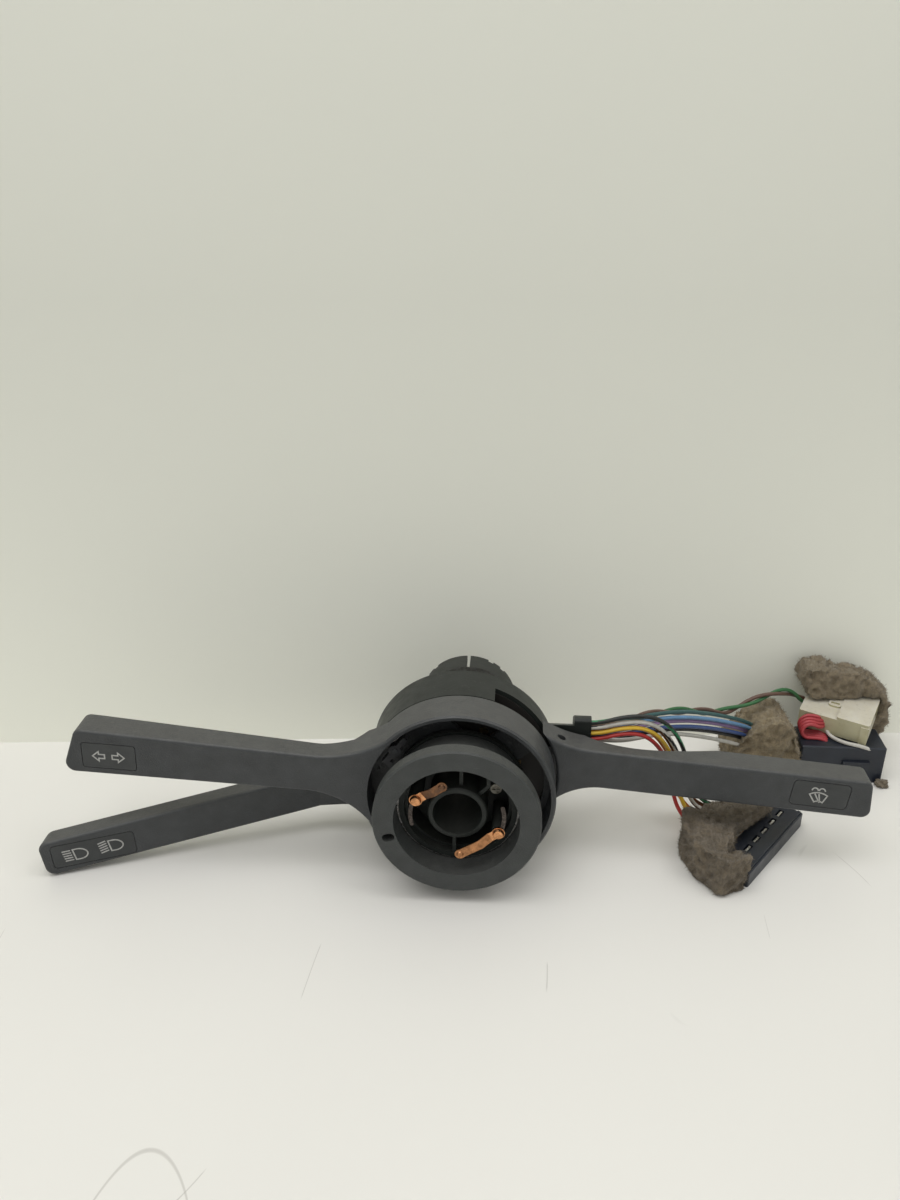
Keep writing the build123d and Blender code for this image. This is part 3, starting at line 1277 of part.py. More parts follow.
with BuildPart() as cable_clip:
    with BuildSketch(Plane.YZ.offset(CLIP_SPAN[0])):
        with BuildLine():
            Polyline(
                (-CLIP_FRONT, CLIP_LOW),
                (-CLIP_FRONT, 22.4),
                (-56.4, 23.7),
                (-53.4, 23.2),
                (-46.6, 18.2),
                (-46.6, CLIP_LOW),
                close=True,
            )
        make_face()
    extrude(amount=CLIP_SPAN[1] - CLIP_SPAN[0])
    fillet(cable_clip.edges().filter_by(Axis.X), radius=1)
    clip_face = Plane(origin=(CLIP_SPAN[1], 0, 0), x_dir=(0, 1, 0), z_dir=(1, 0, 0))
    with BuildSketch(clip_face):
        for route in WIRES.values():
            with Locations((route[0][1], route[0][2])):
                Circle(WIRE_R + HOLE_PLAY / 2)
        with Locations((PAIR_ROUTE[0][1], PAIR_ROUTE[0][2])):
            Circle(PAIR_REACH + WIRE_R + HOLE_PLAY / 2)
    extrude(amount=-4, mode=Mode.SUBTRACT)
finish(cable_clip, "cable_clip")

# ================================================================ connectors
low_plane = Plane(origin=(144.5, -61, TABLE_Z), x_dir=(0.6, 0.8, 0), z_dir=(0, 0, 1))
with BuildPart() as low_connector:
    with BuildSketch(low_plane):
        Rectangle(LOW_LENGTH, LOW_WIDTH)
    extrude(amount=LOW_HEIGHT)
    fillet(low_connector.edges().filter_by(Axis.Z), radius=0.8)
    chamfer(low_connector.faces().sort_by(Axis.Z)[-1].edges(), length=0.5)
    # long edge rail and end stops
    with BuildSketch(low_plane.offset(LOW_HEIGHT)):
        with Locations((0, -LOW_WIDTH / 2 + 1.6)):
            Rectangle(LOW_LENGTH - 3, 1.4)
    extrude(amount=1.2)
    with BuildSketch(low_plane.offset(LOW_HEIGHT)):
        with GridLocations(LOW_PITCH, 1, LOW_COUNT, 1):
            with Locations((0, LOW_ROW)):
                Rectangle(5.6, 2.6)
    extrude(amount=-5, mode=Mode.SUBTRACT)
    for core in range(LOW_COUNT):
        entry = Plane(
            origin=low_plane.from_local_coords(
                (LOW_SHIFT + ((LOW_COUNT - 1) / 2 - core) * LOW_ENTRY, LOW_WIDTH / 2, LOW_HEIGHT - LOW_DEPTH)
            ),
            x_dir=(0.6, 0.8, 0),
            z_dir=(-0.8, 0.6, 0),
        )
        with BuildSketch(entry):
            Circle(WIRE_R + HOLE_PLAY / 2)
        extrude(amount=-WIRE_SEAT, mode=Mode.SUBTRACT)
finish(low_connector, "low_connector")

with BuildPart() as low_terminals:
    with BuildSketch(low_plane.offset(LOW_HEIGHT - 5)):
        with GridLocations(LOW_PITCH, 1, LOW_COUNT, 1):
            with Locations((0, LOW_ROW)):
                Rectangle(4.8, 1.0)
    extrude(amount=4.6)
finish(low_terminals, "low_terminals")

with BuildPart() as right_connector:
    with BuildSketch(Plane.XY.offset(TABLE_Z)):
        with Locations(((RIGHT_BOX[0] + RIGHT_BOX[1]) / 2, (RIGHT_BOX[2] + RIGHT_BOX[3]) / 2)):
            Rectangle(RIGHT_BOX[1] - RIGHT_BOX[0], RIGHT_BOX[3] - RIGHT_BOX[2])
    extrude(amount=RIGHT_BOX[4] - TABLE_Z)
    fillet(right_connector.edges().filter_by(Axis.Z), radius=1)
    chamfer(right_connector.faces().sort_by(Axis.Z)[-1].edges(), length=0.6)
    # shroud of the mating end and the latch rail on the front
    with BuildSketch(Plane(origin=(RIGHT_BOX[1], 0, 0), x_dir=(0, 1, 0), z_dir=(1, 0, 0))):
        with Locations(((RIGHT_BOX[2] + RIGHT_BOX[3]) / 2, (TABLE_Z + RIGHT_BOX[4]) / 2)):
            Rectangle(RIGHT_BOX[3] - RIGHT_BOX[2] - 3.6, RIGHT_BOX[4] - TABLE_Z - 3.6)
    extrude(amount=-9, mode=Mode.SUBTRACT)
    with BuildSketch(Plane.XZ.offset(-RIGHT_BOX[2])):
        with Locations((RIGHT_BOX[1] - 15, (TABLE_Z + RIGHT_BOX[4]) / 2)):
            Rectangle(14, 5)
    extrude(amount=1.4)
    with BuildSketch(Plane(origin=(RIGHT_BOX[0], 0, 0), x_dir=(0, -1, 0), z_dir=(-1, 0, 0))):
        for route in WIRES.values():
            if route[-1][0] > RIGHT_BOX[0]:
                with Locations((-route[-1][1], route[-1][2])):
                    Circle(WIRE_R + HOLE_PLAY / 2)
    extrude(amount=-WIRE_SEAT, mode=Mode.SUBTRACT)
finish(right_connector, "right_connector")

white_plane = Plane(Location(WHITE_AT, WHITE_TURN))
with BuildPart() as white_connector:
    with BuildSketch(white_plane):
        Rectangle(WHITE_LENGTH, WHITE_WIDTH)
    extrude(amount=WHITE_HEIGHT - WHITE_STEP)
    fillet(white_connector.edges().filter_by(lambda e: abs((e % 0).Z) > 0.9), radius=1.2)
    # block over the terminals and the latch tongue beside it
    with BuildSketch(white_plane.offset(WHITE_HEIGHT - WHITE_STEP)):
        with Locations(((WHITE_LENGTH - WHITE_BLOCK) / 2, 0)):
            RectangleRounded(WHITE_BLOCK, WHITE_WIDTH, 1.2)
    extrude(amount=WHITE_STEP)
    with BuildSketch(white_plane.offset(WHITE_HEIGHT - WHITE_STEP)):
        with Locations((WHITE_LENGTH / 2 - WHITE_BLOCK - 3.4, 2)):
            RectangleRounded(6.8, 11, 2)
            RectangleRounded(4.4, 8.6, 1.2, mode=Mode.SUBTRACT)
        with Locations((WHITE_LENGTH / 2 - WHITE_BLOCK - 3.2, 2)):
            Rectangle(6.4, 4)
    extrude(amount=1)
    # lips along the lower edges of the mating end
    with BuildSketch(white_plane):
        with Locations((WHITE_LENGTH / 2 - 2, -WHITE_WIDTH / 2), (WHITE_LENGTH / 2 - 2, WHITE_WIDTH / 2)):
            Rectangle(4, 1.2)
    extrude(amount=WHITE_HEIGHT - WHITE_STEP)
    # shroud of the mating end
    white_end = Plane(
        origin=white_plane.from_local_coords((WHITE_LENGTH / 2, 0, WHITE_HEIGHT / 2)),
        x_dir=white_plane.y_dir,
        z_dir=white_plane.x_dir,
    )
    with BuildSketch(white_end):
        Rectangle(WHITE_WIDTH - 3, WHITE_HEIGHT - 3)
    extrude(amount=-8, mode=Mode.SUBTRACT)
    # mouths for the wires on the left flank, the twisted pair's at the end of its route
    mouth = white_plane.to_local_coords(Vector(*PAIR_ROUTE[-1]))
    flank = Plane(
        origin=white_plane.from_local_coords((-WHITE_LENGTH / 2, mouth.Y, mouth.Z)),
        x_dir=white_plane.y_dir,
        z_dir=-white_plane.x_dir,
    )
    with BuildSketch(flank):
        RectangleRounded(9, 7.2, 1)
        with Locations((-9.6, -0.4)):
            RectangleRounded(8, 6.6, 1)
    extrude(amount=-4.2, mode=Mode.SUBTRACT)
finish(white_connector, "white_connector")

# ================================================================ torn foam strips
with BuildPart() as foam_top:
    with BuildSketch(Plane.XZ.offset(-FOAM_TOP_SPAN[0])):
        with BuildLine():
            Polyline(
                (179.5, -1),
                (178.5, 5),
                (181, 10.4),
                (190, 11),
                (197, 9.8),
                (199.5, 7.6),
                (207.5, 9),
                (217.3, 4.2),
                (224, -3),
                (229.5, -9.5),
                (228, -22),
                (223.5, -35),
                (222, TABLE_Z),
                (214, TABLE_Z),
                (217.5, -25),
                (214, -19),
                (214, -10),
                (190, -8),
                (184, -5),
                close=True,
            )
        make_face()
    extrude(amount=FOAM_TOP_SPAN[0] - FOAM_TOP_SPAN[1])
    # the hollow that holds the white connector
    with BuildSketch(white_plane.offset(-WHITE_FIT)):
        Rectangle(WHITE_LENGTH + 2 * WHITE_FIT, WHITE_WIDTH + 1.2 + 2 * WHITE_FIT)
    extrude(amount=WHITE_HEIGHT + 2 * WHITE_FIT, mode=Mode.SUBTRACT)
finish(foam_top, "foam_top")

with BuildPart() as foam_middle:
    with BuildSketch(Plane.XZ.offset(6)):
        with BuildLine():
            Polyline(
                (137, -28),
                (146, -16),
                (158, -6.5),
                (164, -6.5),
                (172, -14),
                (175.5, -26),
                (174, TABLE_Z),
                (140, TABLE_Z),
                close=True,
            )
        make_face()
    extrude(amount=-28)
    with BuildSketch(Plane.YZ.offset(130)):
        with Locations((6, -24)):
            Rectangle(17, 24)
    extrude(amount=50, mode=Mode.SUBTRACT)
finish(foam_middle, "foam_middle")

with BuildPart() as foam_low:
    with BuildSketch(Plane.XY.offset(TABLE_Z)):
        with BuildLine():
            Polyline(
                (107, -58),
                (105.5, -72),
                (108.5, -85),
                (120, -98),
                (131.8, -92.5),
                (132.4, -91.2),
                (123.5, -84.6),
                (128, -72.5),
                (140, -59),
                (153.4, -43.3),
                (146, -38),
                (126, -48.5),
                close=True,
            )
        make_face()
    extrude(amount=19.6)
    # cave for the wires
    with BuildSketch(Plane.XY.offset(TABLE_Z)):
        with BuildLine():
            Polyline(
                (100, -47),
                (109.7, -54.9),
                (120.4, -62.8),
                (132, -71.5),
                (160, -40),
                (150, -25),
                (100, -25),
                close=True,
            )
        make_face()
    extrude(amount=10.6, mode=Mode.SUBTRACT)
    # step over the low connector
    with BuildSketch(low_plane):
        Rectangle(LOW_LENGTH + 1.6, LOW_WIDTH + 1.6)
    extrude(amount=LOW_HEIGHT + 0.7, mode=Mode.SUBTRACT)
finish(foam_low, "foam_low")
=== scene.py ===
"""Looks of a combination stalk switch: its stage, surfaces, wires, foam, connectors and printed signs."""

import math

import bmesh
import bpy
from bpy.props import FloatProperty, FloatVectorProperty, IntProperty, PointerProperty
from mathutils import Matrix, Vector, noise


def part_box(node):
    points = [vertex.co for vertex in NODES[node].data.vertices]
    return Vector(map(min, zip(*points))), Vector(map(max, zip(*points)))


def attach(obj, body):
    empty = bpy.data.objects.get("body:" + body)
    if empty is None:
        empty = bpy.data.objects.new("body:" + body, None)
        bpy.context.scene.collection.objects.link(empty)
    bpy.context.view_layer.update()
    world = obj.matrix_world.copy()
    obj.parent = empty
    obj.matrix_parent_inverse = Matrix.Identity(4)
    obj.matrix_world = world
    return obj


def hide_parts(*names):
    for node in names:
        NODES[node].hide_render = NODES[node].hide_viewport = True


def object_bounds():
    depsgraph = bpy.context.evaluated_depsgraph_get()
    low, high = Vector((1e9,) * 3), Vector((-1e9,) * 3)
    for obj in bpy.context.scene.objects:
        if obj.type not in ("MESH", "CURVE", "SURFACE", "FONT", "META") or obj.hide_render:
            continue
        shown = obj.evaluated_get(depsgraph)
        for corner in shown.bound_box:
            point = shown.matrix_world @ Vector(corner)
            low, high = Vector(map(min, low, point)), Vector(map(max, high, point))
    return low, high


bl_info = {
    "name": "Combination Stalk Switch",
    "version": (1, 0, 0),
    "blender": (4, 5, 0),
    "location": "View3D > Sidebar > Switch",
    "description": "Dresses a steering column's stalk switch and sets its stage",
    "category": "Object",
}

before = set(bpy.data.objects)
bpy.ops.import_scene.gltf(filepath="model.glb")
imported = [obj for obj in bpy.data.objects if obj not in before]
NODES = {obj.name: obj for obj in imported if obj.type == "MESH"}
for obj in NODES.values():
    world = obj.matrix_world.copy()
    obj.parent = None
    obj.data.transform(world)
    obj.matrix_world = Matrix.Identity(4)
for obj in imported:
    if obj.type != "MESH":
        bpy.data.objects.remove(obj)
CAD_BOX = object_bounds()

# Body that carries the wires and the foam.
HOLDER = "column_unit"

# Height of the table, in metres, at the switch's lowest point.
TABLE_TOP = CAD_BOX[0].z

# Camera: its place, near limit, lens and sensor in millimetres, the way that it looks and its
# right-hand side.
CAMERA_PLACE = (20.81, -459.44, 270.48)
CAMERA_NEAR = 10
CAMERA_AIM = (-0.0607, 0.9046, -0.4220)
CAMERA_RIGHT = (0.9978, 0.067, 0)
CAMERA_LENS = 30
CAMERA_SENSOR = 36

# Lamps: each one's place and width in millimetres and its power in watts.
LAMPS = {
    "ceiling": ((-250, -350, 1150), 900, 6.6),
    "ceiling_right": ((500, -150, 1000), 500, 2.0),
}
ROOM_COLOUR = (1.0, 1.0, 0.985)

# Table and wall, in millimetres: how far each reaches from the middle, and how high the painted
# light on the wall's foot fades out. The foot is painted brighter than the wall's own colour by a factor.
TABLE_REACH = 1400
WALL_REACH = 1600
WALL_FOOT_LIGHT_TOP = 200
WALL_FOOT_LIGHT_GAIN = 1.25

# Worn lines in the table's laminate: size of the pattern in millimetres, its turn in radians, the
# noise value above which lines show, and half a line's width as a noise value.
TABLE_WEAR = ((150, 0.5, 0.62, 0.0011), (90, 1.9, 0.64, 0.0014))

# Colours of what wears or settles on a surface; the dust also paints the sheen of upward faces.
WORN_LAMINATE = (0.42, 0.4, 0.37)
# Dust, lighter than the dark mouldings, which on their upward faces is partly a painted sheen of the light
# from above.
DUST_AND_SHEEN = (0.2, 0.19, 0.17)
SCRATCH = (0.17, 0.17, 0.16)
SOIL_ON_NYLON = (0.16, 0.135, 0.095)
SCRATCH_ON_NYLON = (0.13, 0.11, 0.08)

# Colour sockets of the mix node, by number, because its other types have the same names.
MIX_FIRST = 6
MIX_SECOND = 7
MIX_RESULT = 2

# Tracer stripe: spacing of the wire's rings in millimetres, sides that the stripe winds on from
# ring to ring, and sides that it covers.
STRIPE_STEP = 1.2
STRIPE_TURN = 0.35
STRIPE_SIDES = 3

# Foam strips, each with the tint of its colour. The low strip's darker, greyer tint is painted shade from
# the lever over it.
FOAM_STRIPS = {
    "foam_top": (1.22, 1.18, 1.1),
    "foam_middle": (1.44, 1.38, 1.2),
    "foam_low": (0.85, 0.81, 0.76),
}

# Torn surface of the foam, in millimetres: sizes of lumps, tears and crumbs, height of the
# crumbs, and the most that the surface swells. Tears are deeper than the lumps by a factor.
LUMP_SIZE = 13
TEAR_SIZE = 5.5
CRUMB_SIZE = 2.3
CRUMB_HEIGHT = 0.9
SWELL_LIMIT = 1.2
TEAR_DEPTH = 1.5

# Share of the tearing that is left on a strip's underside, and how high that counts from the table.
UNDERSIDE_SHARE = 0.15
UNDERSIDE_HEIGHT = 0.6

# Steps through the noise, from one strip to the next and from one fibre to the next, and the seed
# of the fibres' noise, which would start from the clock without one.
STRIP_STRIDE = (3.7, 1.3, 5.1)
FIBRE_STRIDE = (0.37, 0.71, 0.13)
FIBRE_SEED = 7

# Fibres: how many on a strip, and reach, half width and least height over the table in millimetres.
FIBRE_COUNT = 7000
FIBRE_REACH = 2.8
FIBRE_HALF_WIDTH = 0.16
FIBRE_CLEARANCE = 0.3

# How far a fibre stands up and how far it sways, and the shortest one's share of the reach.
FIBRE_STAND = 0.9
FIBRE_SWAY = 1.4
FIBRE_SHORTEST = 0.4

# Crumb of foam by the black box connector's open end: its middle and reach in millimetres.
FOAM_SCRAP = (220.4, -4.6, -42.1)
FOAM_SCRAP_REACH = (3.4, 2.8, 2.2)

# Inlays that the signs are printed on. The first two: the inlay's centre in x and z, in
# millimetres, and its slope in degrees. The light stalk's: the way along its cranked arm from
# where the crank starts, the drop below that, both in millimetres, and its slope.
INDICATOR_INLAY = (-158.2, 16.0, -3.0)
WIPER_INLAY = (164.4, -3.0, -5.6)
LIGHT_INLAY = (106.4, 32.1, 2.7)
CRANK_START = (-69.6, -62.2, 0.0)
CRANK_ANGLE = 19.43

# Signs in the planes of their inlays, in millimetres: each arrow's centre and facing, the
# washer's centre, and each headlamp's centre and the slope of its beams in degrees.
ARROWS = (((-4.7, -0.2), -1), ((4.3, -0.2), 1))
WASHER_CENTRE = (-0.9, 0.3)
HEADLAMPS = (((-8.7, -0.4), 1.0), ((7.3, 0.5), 14.0))

# How far the tops of the washer and the headlamps lean left, for each unit of height.
WASHER_LEAN = 0.18
HEADLAMP_LEAN = 0.15

# Beams of a headlamp: their number, the top one's height, their spacing and their ends.
BEAMS = 5
BEAM_TOP = 2.7
BEAM_GAP = 1.35
BEAM_LEFT = -4.9
BEAM_RIGHT = -1.1

# Height of the print over its inlay in millimetres, and the least share that a mitre may divide by.
PRINT_HEIGHT = 0.07
MITRE_LIMIT = 0.45

# Routes of the wires, in millimetres. Those of the looms and the pair run from the clip on the
# drum to the connectors, and the jumpers from the black box connector to the pale one.
FRONT_LOOM = {
    "black_green": [
        (57, -56, 21),
        (64, -56, 21),
        (75, -56.2, 25),
        (87, -55.5, 25.6),
        (97, -53.3, 19.5),
        (104.3, -50, 7),
        (109, -45.2, -7.6),
        (112.8, -42.1, -21.5),
        (119.4, -38.9, -33.2),
        (130, -35, -39),
        (144.8, -33.6, -39.5),
        (152.8, -39.6, -39.5),
    ],
    "brown": [
        (57, -53.5, 16.9),
        (64, -53.5, 16.9),
        (74, -53.4, 20.2),
        (85.5, -52.6, 20.7),
        (93.3, -50.8, 15.2),
        (100, -47.6, 4.4),
        (104.7, -43, -8.2),
        (107.9, -39.9, -21.5),
        (114.5, -38.4, -33.2),
        (126.1, -37.9, -39),
        (140.6, -39.2, -39.5),
        (148.6, -45.2, -39.5),
    ],
    "white_black": [
        (57, -56, 18.2),
        (64, -56, 18.2),
        (74, -56.2, 21.8),
        (85.5, -55.5, 22.4),
        (94.5, -53.5, 16.6),
        (101.4, -50.3, 5),
        (106, -45.8, -8.2),
        (109.3, -43.2, -21.5),
        (114.6, -42.3, -33.2),
        (123.8, -42.3, -39),
        (136.4, -44.8, -39.5),
        (144.4, -50.8, -39.5),
    ],
    "orange": [
        (57, -53.5, 14.2),
        (64, -53.5, 14.2),
        (73.2, -53.4, 17),
        (84, -52.7, 17.5),
        (90.8, -51, 12.6),
        (97.2, -48, 2.8),
        (101.6, -43.6, -9),
        (104.3, -41, -21.5),
        (109.6, -41.7, -33.2),
        (119.8, -45.2, -39),
        (132.2, -50.4, -39.5),
        (140.2, -56.4, -39.5),
    ],
    "yellow": [
        (57, -56, 15.2),
        (64, -56, 15.2),
        (73.5, -56.2, 18.6),
        (84, -55.5, 19.1),
        (92, -53.7, 13.9),
        (98.6, -50.6, 3.5),
        (103, -46.3, -8.8),
        (105.7, -44.1, -21.5),
        (109.8, -45.5, -33.2),
        (117.6, -49.6, -39),
        (128, -56, -39.5),
        (136, -62, -39.5),
    ],
    "red": [
        (57, -56, 12),
        (64, -56, 12),
        (73, -56.2, 15.4),
        (82.5, -55.5, 15.8),
        (89.5, -53.9, 11.2),
        (95.8, -50.9, 2),
        (100.2, -46.8, -9.5),
        (102.5, -44.7, -21.5),
        (106.3, -47.2, -33.2),
        (114, -53.3, -39),
        (123.8, -61.6, -39.5),
        (131.8, -67.6, -39.5),
    ],
}
REAR_LOOM = {
    "dark_green": [
        (57, -51, 17.2),
        (65, -51, 17.2),
        (77, -47.6, 18.1),
        (91, -39.5, 16.8),
        (106, -30, 13.4),
        (121, -19, 6.2),
        (134.5, -8, -2.2),
        (146, 2, -10.4),
        (156, 7.4, -18.4),
        (167, 8, -26.6),
        (178.5, 8, -26.6),
    ],
    "light_blue": [
        (57, -51, 14.6),
        (65, -51, 14.6),
        (77, -47.6, 15.5),
        (91, -39.5, 14.2),
        (106.9, -31.1, 10.8),
        (121.9, -20.1, 3.6),
        (135.4, -9.1, -4.8),
        (146.9, 0.9, -13),
        (156.9, 6.3, -21),
        (167.4, 6.9, -29.2),
        (178.5, 6.9, -29.2),
    ],
    "violet": [
        (57, -51, 12),
        (65, -51, 12),
        (77, -47.6, 12.9),
        (91, -39.5, 11.6),
        (106, -30, 8.2),
        (121, -19, 1),
        (134.5, -8, -7.4),
        (146, 2, -15.6),
        (156, 7.4, -23.6),
        (167, 8, -31.8),
        (178.5, 8, -31.8),
    ],
    "dark_blue": [
        (57, -51, 9.4),
        (65, -51, 9.4),
        (77, -47.6, 10.3),
        (91, -39.5, 9),
        (106.9, -31.1, 5.6),
        (121.9, -20.1, -1.6),
        (135.4, -9.1, -10),
        (146.9, 0.9, -18.2),
        (156.9, 6.3, -26.2),
        (167.4, 6.9, -34.4),
        (178.5, 6.9, -34.4),
    ],
}
SPARE_LOOM = {
    "rear_black": [
        (57, -48.4, 9.6),
        (65, -48.4, 9.4),
        (77, -46, 7.7),
        (91, -38.4, 6.4),
        (105.5, -29.4, 3),
        (120.5, -18.6, -4.2),
        (134, -7.8, -12.6),
        (145.6, 2.2, -20.8),
        (155.6, 8.4, -28.6),
        (166.6, 9.4, -36.8),
        (177.6, 9.4, -36.8),
    ],
    "rear_white": [
        (57, -53.4, 10.4),
        (65, -53.2, 9.8),
        (77, -49.4, 7.4),
        (90.5, -41, 5.8),
        (104.6, -32.2, 1.8),
        (119, -21.8, -6),
        (132.6, -11, -14.8),
        (144, -1.6, -23),
        (154.4, 4.4, -31),
        (165.6, 6, -38.6),
        (177.6, 6, -38.8),
    ],
}
JUMPERS = {
    "jumper_1": [
        (191.5, 10.2, -22.5),
        (189.3, 10.5, -21),
        (184.7, 11.3, -21),
        (180.2, 11.3, -21),
        (177.3, 11.3, -18.1),
        (177.3, 11.3, -14.1),
        (180.2, 11.3, -11.2),
        (183.9, 11.3, -11.3),
        (186.8, 11.2, -11.8),
        (190.8, 11.6, -12.2),
    ],
    "jumper_2": [
        (191.5, 8, -22.5),
        (189.3, 8.3, -21),
        (184.1, 9.1, -21),
        (180, 9.1, -21),
        (177.3, 9.1, -18.3),
        (177.3, 9.1, -14.6),
        (180, 9.1, -11.9),
        (183.4, 9.1, -12),
        (186.8, 9.4, -13.1),
        (190.8, 11.6, -13.9),
    ],
    "jumper_3": [
        (191.2, 5.9, -22.5),
        (189, 6.2, -21),
        (183.8, 6.9, -21),
        (179.8, 6.9, -21),
        (177.3, 6.9, -18.5),
        (177.3, 6.9, -14.9),
        (179.8, 6.9, -12.4),
        (183.1, 6.9, -12.5),
        (186.8, 7.7, -14.3),
        (190.8, 11.6, -15.6),
    ],
    "jumper_4": [
        (190.5, 3.9, -22.5),
        (188.3, 4.2, -21),
        (183.5, 4.7, -21),
        (179.7, 4.7, -21),
        (177.3, 4.7, -18.6),
        (177.3, 4.7, -15.1),
        (179.7, 4.7, -12.7),
        (182.9, 4.7, -12.8),
        (186.8, 5.9, -15.5),
        (190.8, 11.6, -17.3),
    ],
    "jumper_white": [
        (212, -1, -23.5),
        (207, -1.8, -21),
        (199.5, 0.2, -20.9),
        (194.5, 4.2, -20.7),
        (191.4, 8.2, -19.6),
        (192, 14.5, -19),
    ],
}
PAIR_ROUTE = [
    (57, -48.4, 13.2),
    (65, -48.4, 13.2),
    (77, -43.5, 14.7),
    (91, -34, 14),
    (106, -23.5, 10),
    (120, -12, 3),
    (132, -2, -3.2),
    (142, 5, -4.2),
    (152, 8.6, -0.6),
    (161, 13, 0.4),
    (169, 19, -1),
    (175.5, 24.5, -5.5),
    (180.5, 27.5, -10.5),
    (186.4, 28.2, -13),
]

# Twist of the pair: its steps, each core's distance from the middle in millimetres, the turn at
# each step and the turn that each core starts at, in degrees.
PAIR_STEPS = 24
PAIR_REACH = 1.3
PAIR_TURN = 60.0
PAIR_STARTS = {"twisted_green": 90, "twisted_brown": 270}

# Insulation colours: the core's own colour and, where it has one, its tracer stripe's.
INSULATION = {
    "black_green": ((0.012, 0.014, 0.012), (0.03, 0.22, 0.09)),
    "white_black": ((0.55, 0.53, 0.47), (0.02, 0.02, 0.02)),
    "brown": ((0.16, 0.055, 0.02), None),
    "yellow": ((0.78, 0.5, 0.04), None),
    "orange": ((0.72, 0.22, 0.02), None),
    "red": ((0.5, 0.035, 0.03), None),
    "dark_green": ((0.03, 0.1, 0.1), None),
    "light_blue": ((0.13, 0.27, 0.46), None),
    "violet": ((0.33, 0.22, 0.42), None),
    "dark_blue": ((0.045, 0.09, 0.25), None),
    "rear_black": ((0.014, 0.015, 0.015), None),
    "rear_white": ((0.5, 0.49, 0.44), None),
    "jumper": ((0.42, 0.045, 0.055), None),
    "jumper_white": ((0.55, 0.53, 0.48), None),
    "twisted_green": ((0.03, 0.14, 0.045), None),
    "twisted_brown": ((0.12, 0.065, 0.045), None),
}


def mm(*lengths):
    """Lengths in millimetres as metres, one number for one length and a tuple for more."""
    if len(lengths) == 1:
        return lengths[0] / 1000
    return tuple(length / 1000 for length in lengths)


def link(name, data):
    """New object in the scene."""
    piece = bpy.data.objects.new(name, data)
    bpy.context.scene.collection.objects.link(piece)
    return piece


def dress(material, *nodes):
    """Give CAD pieces their finish."""
    for node in nodes:
        piece = NODES[node]
        piece.data.materials.clear()
        piece.data.materials.append(material)


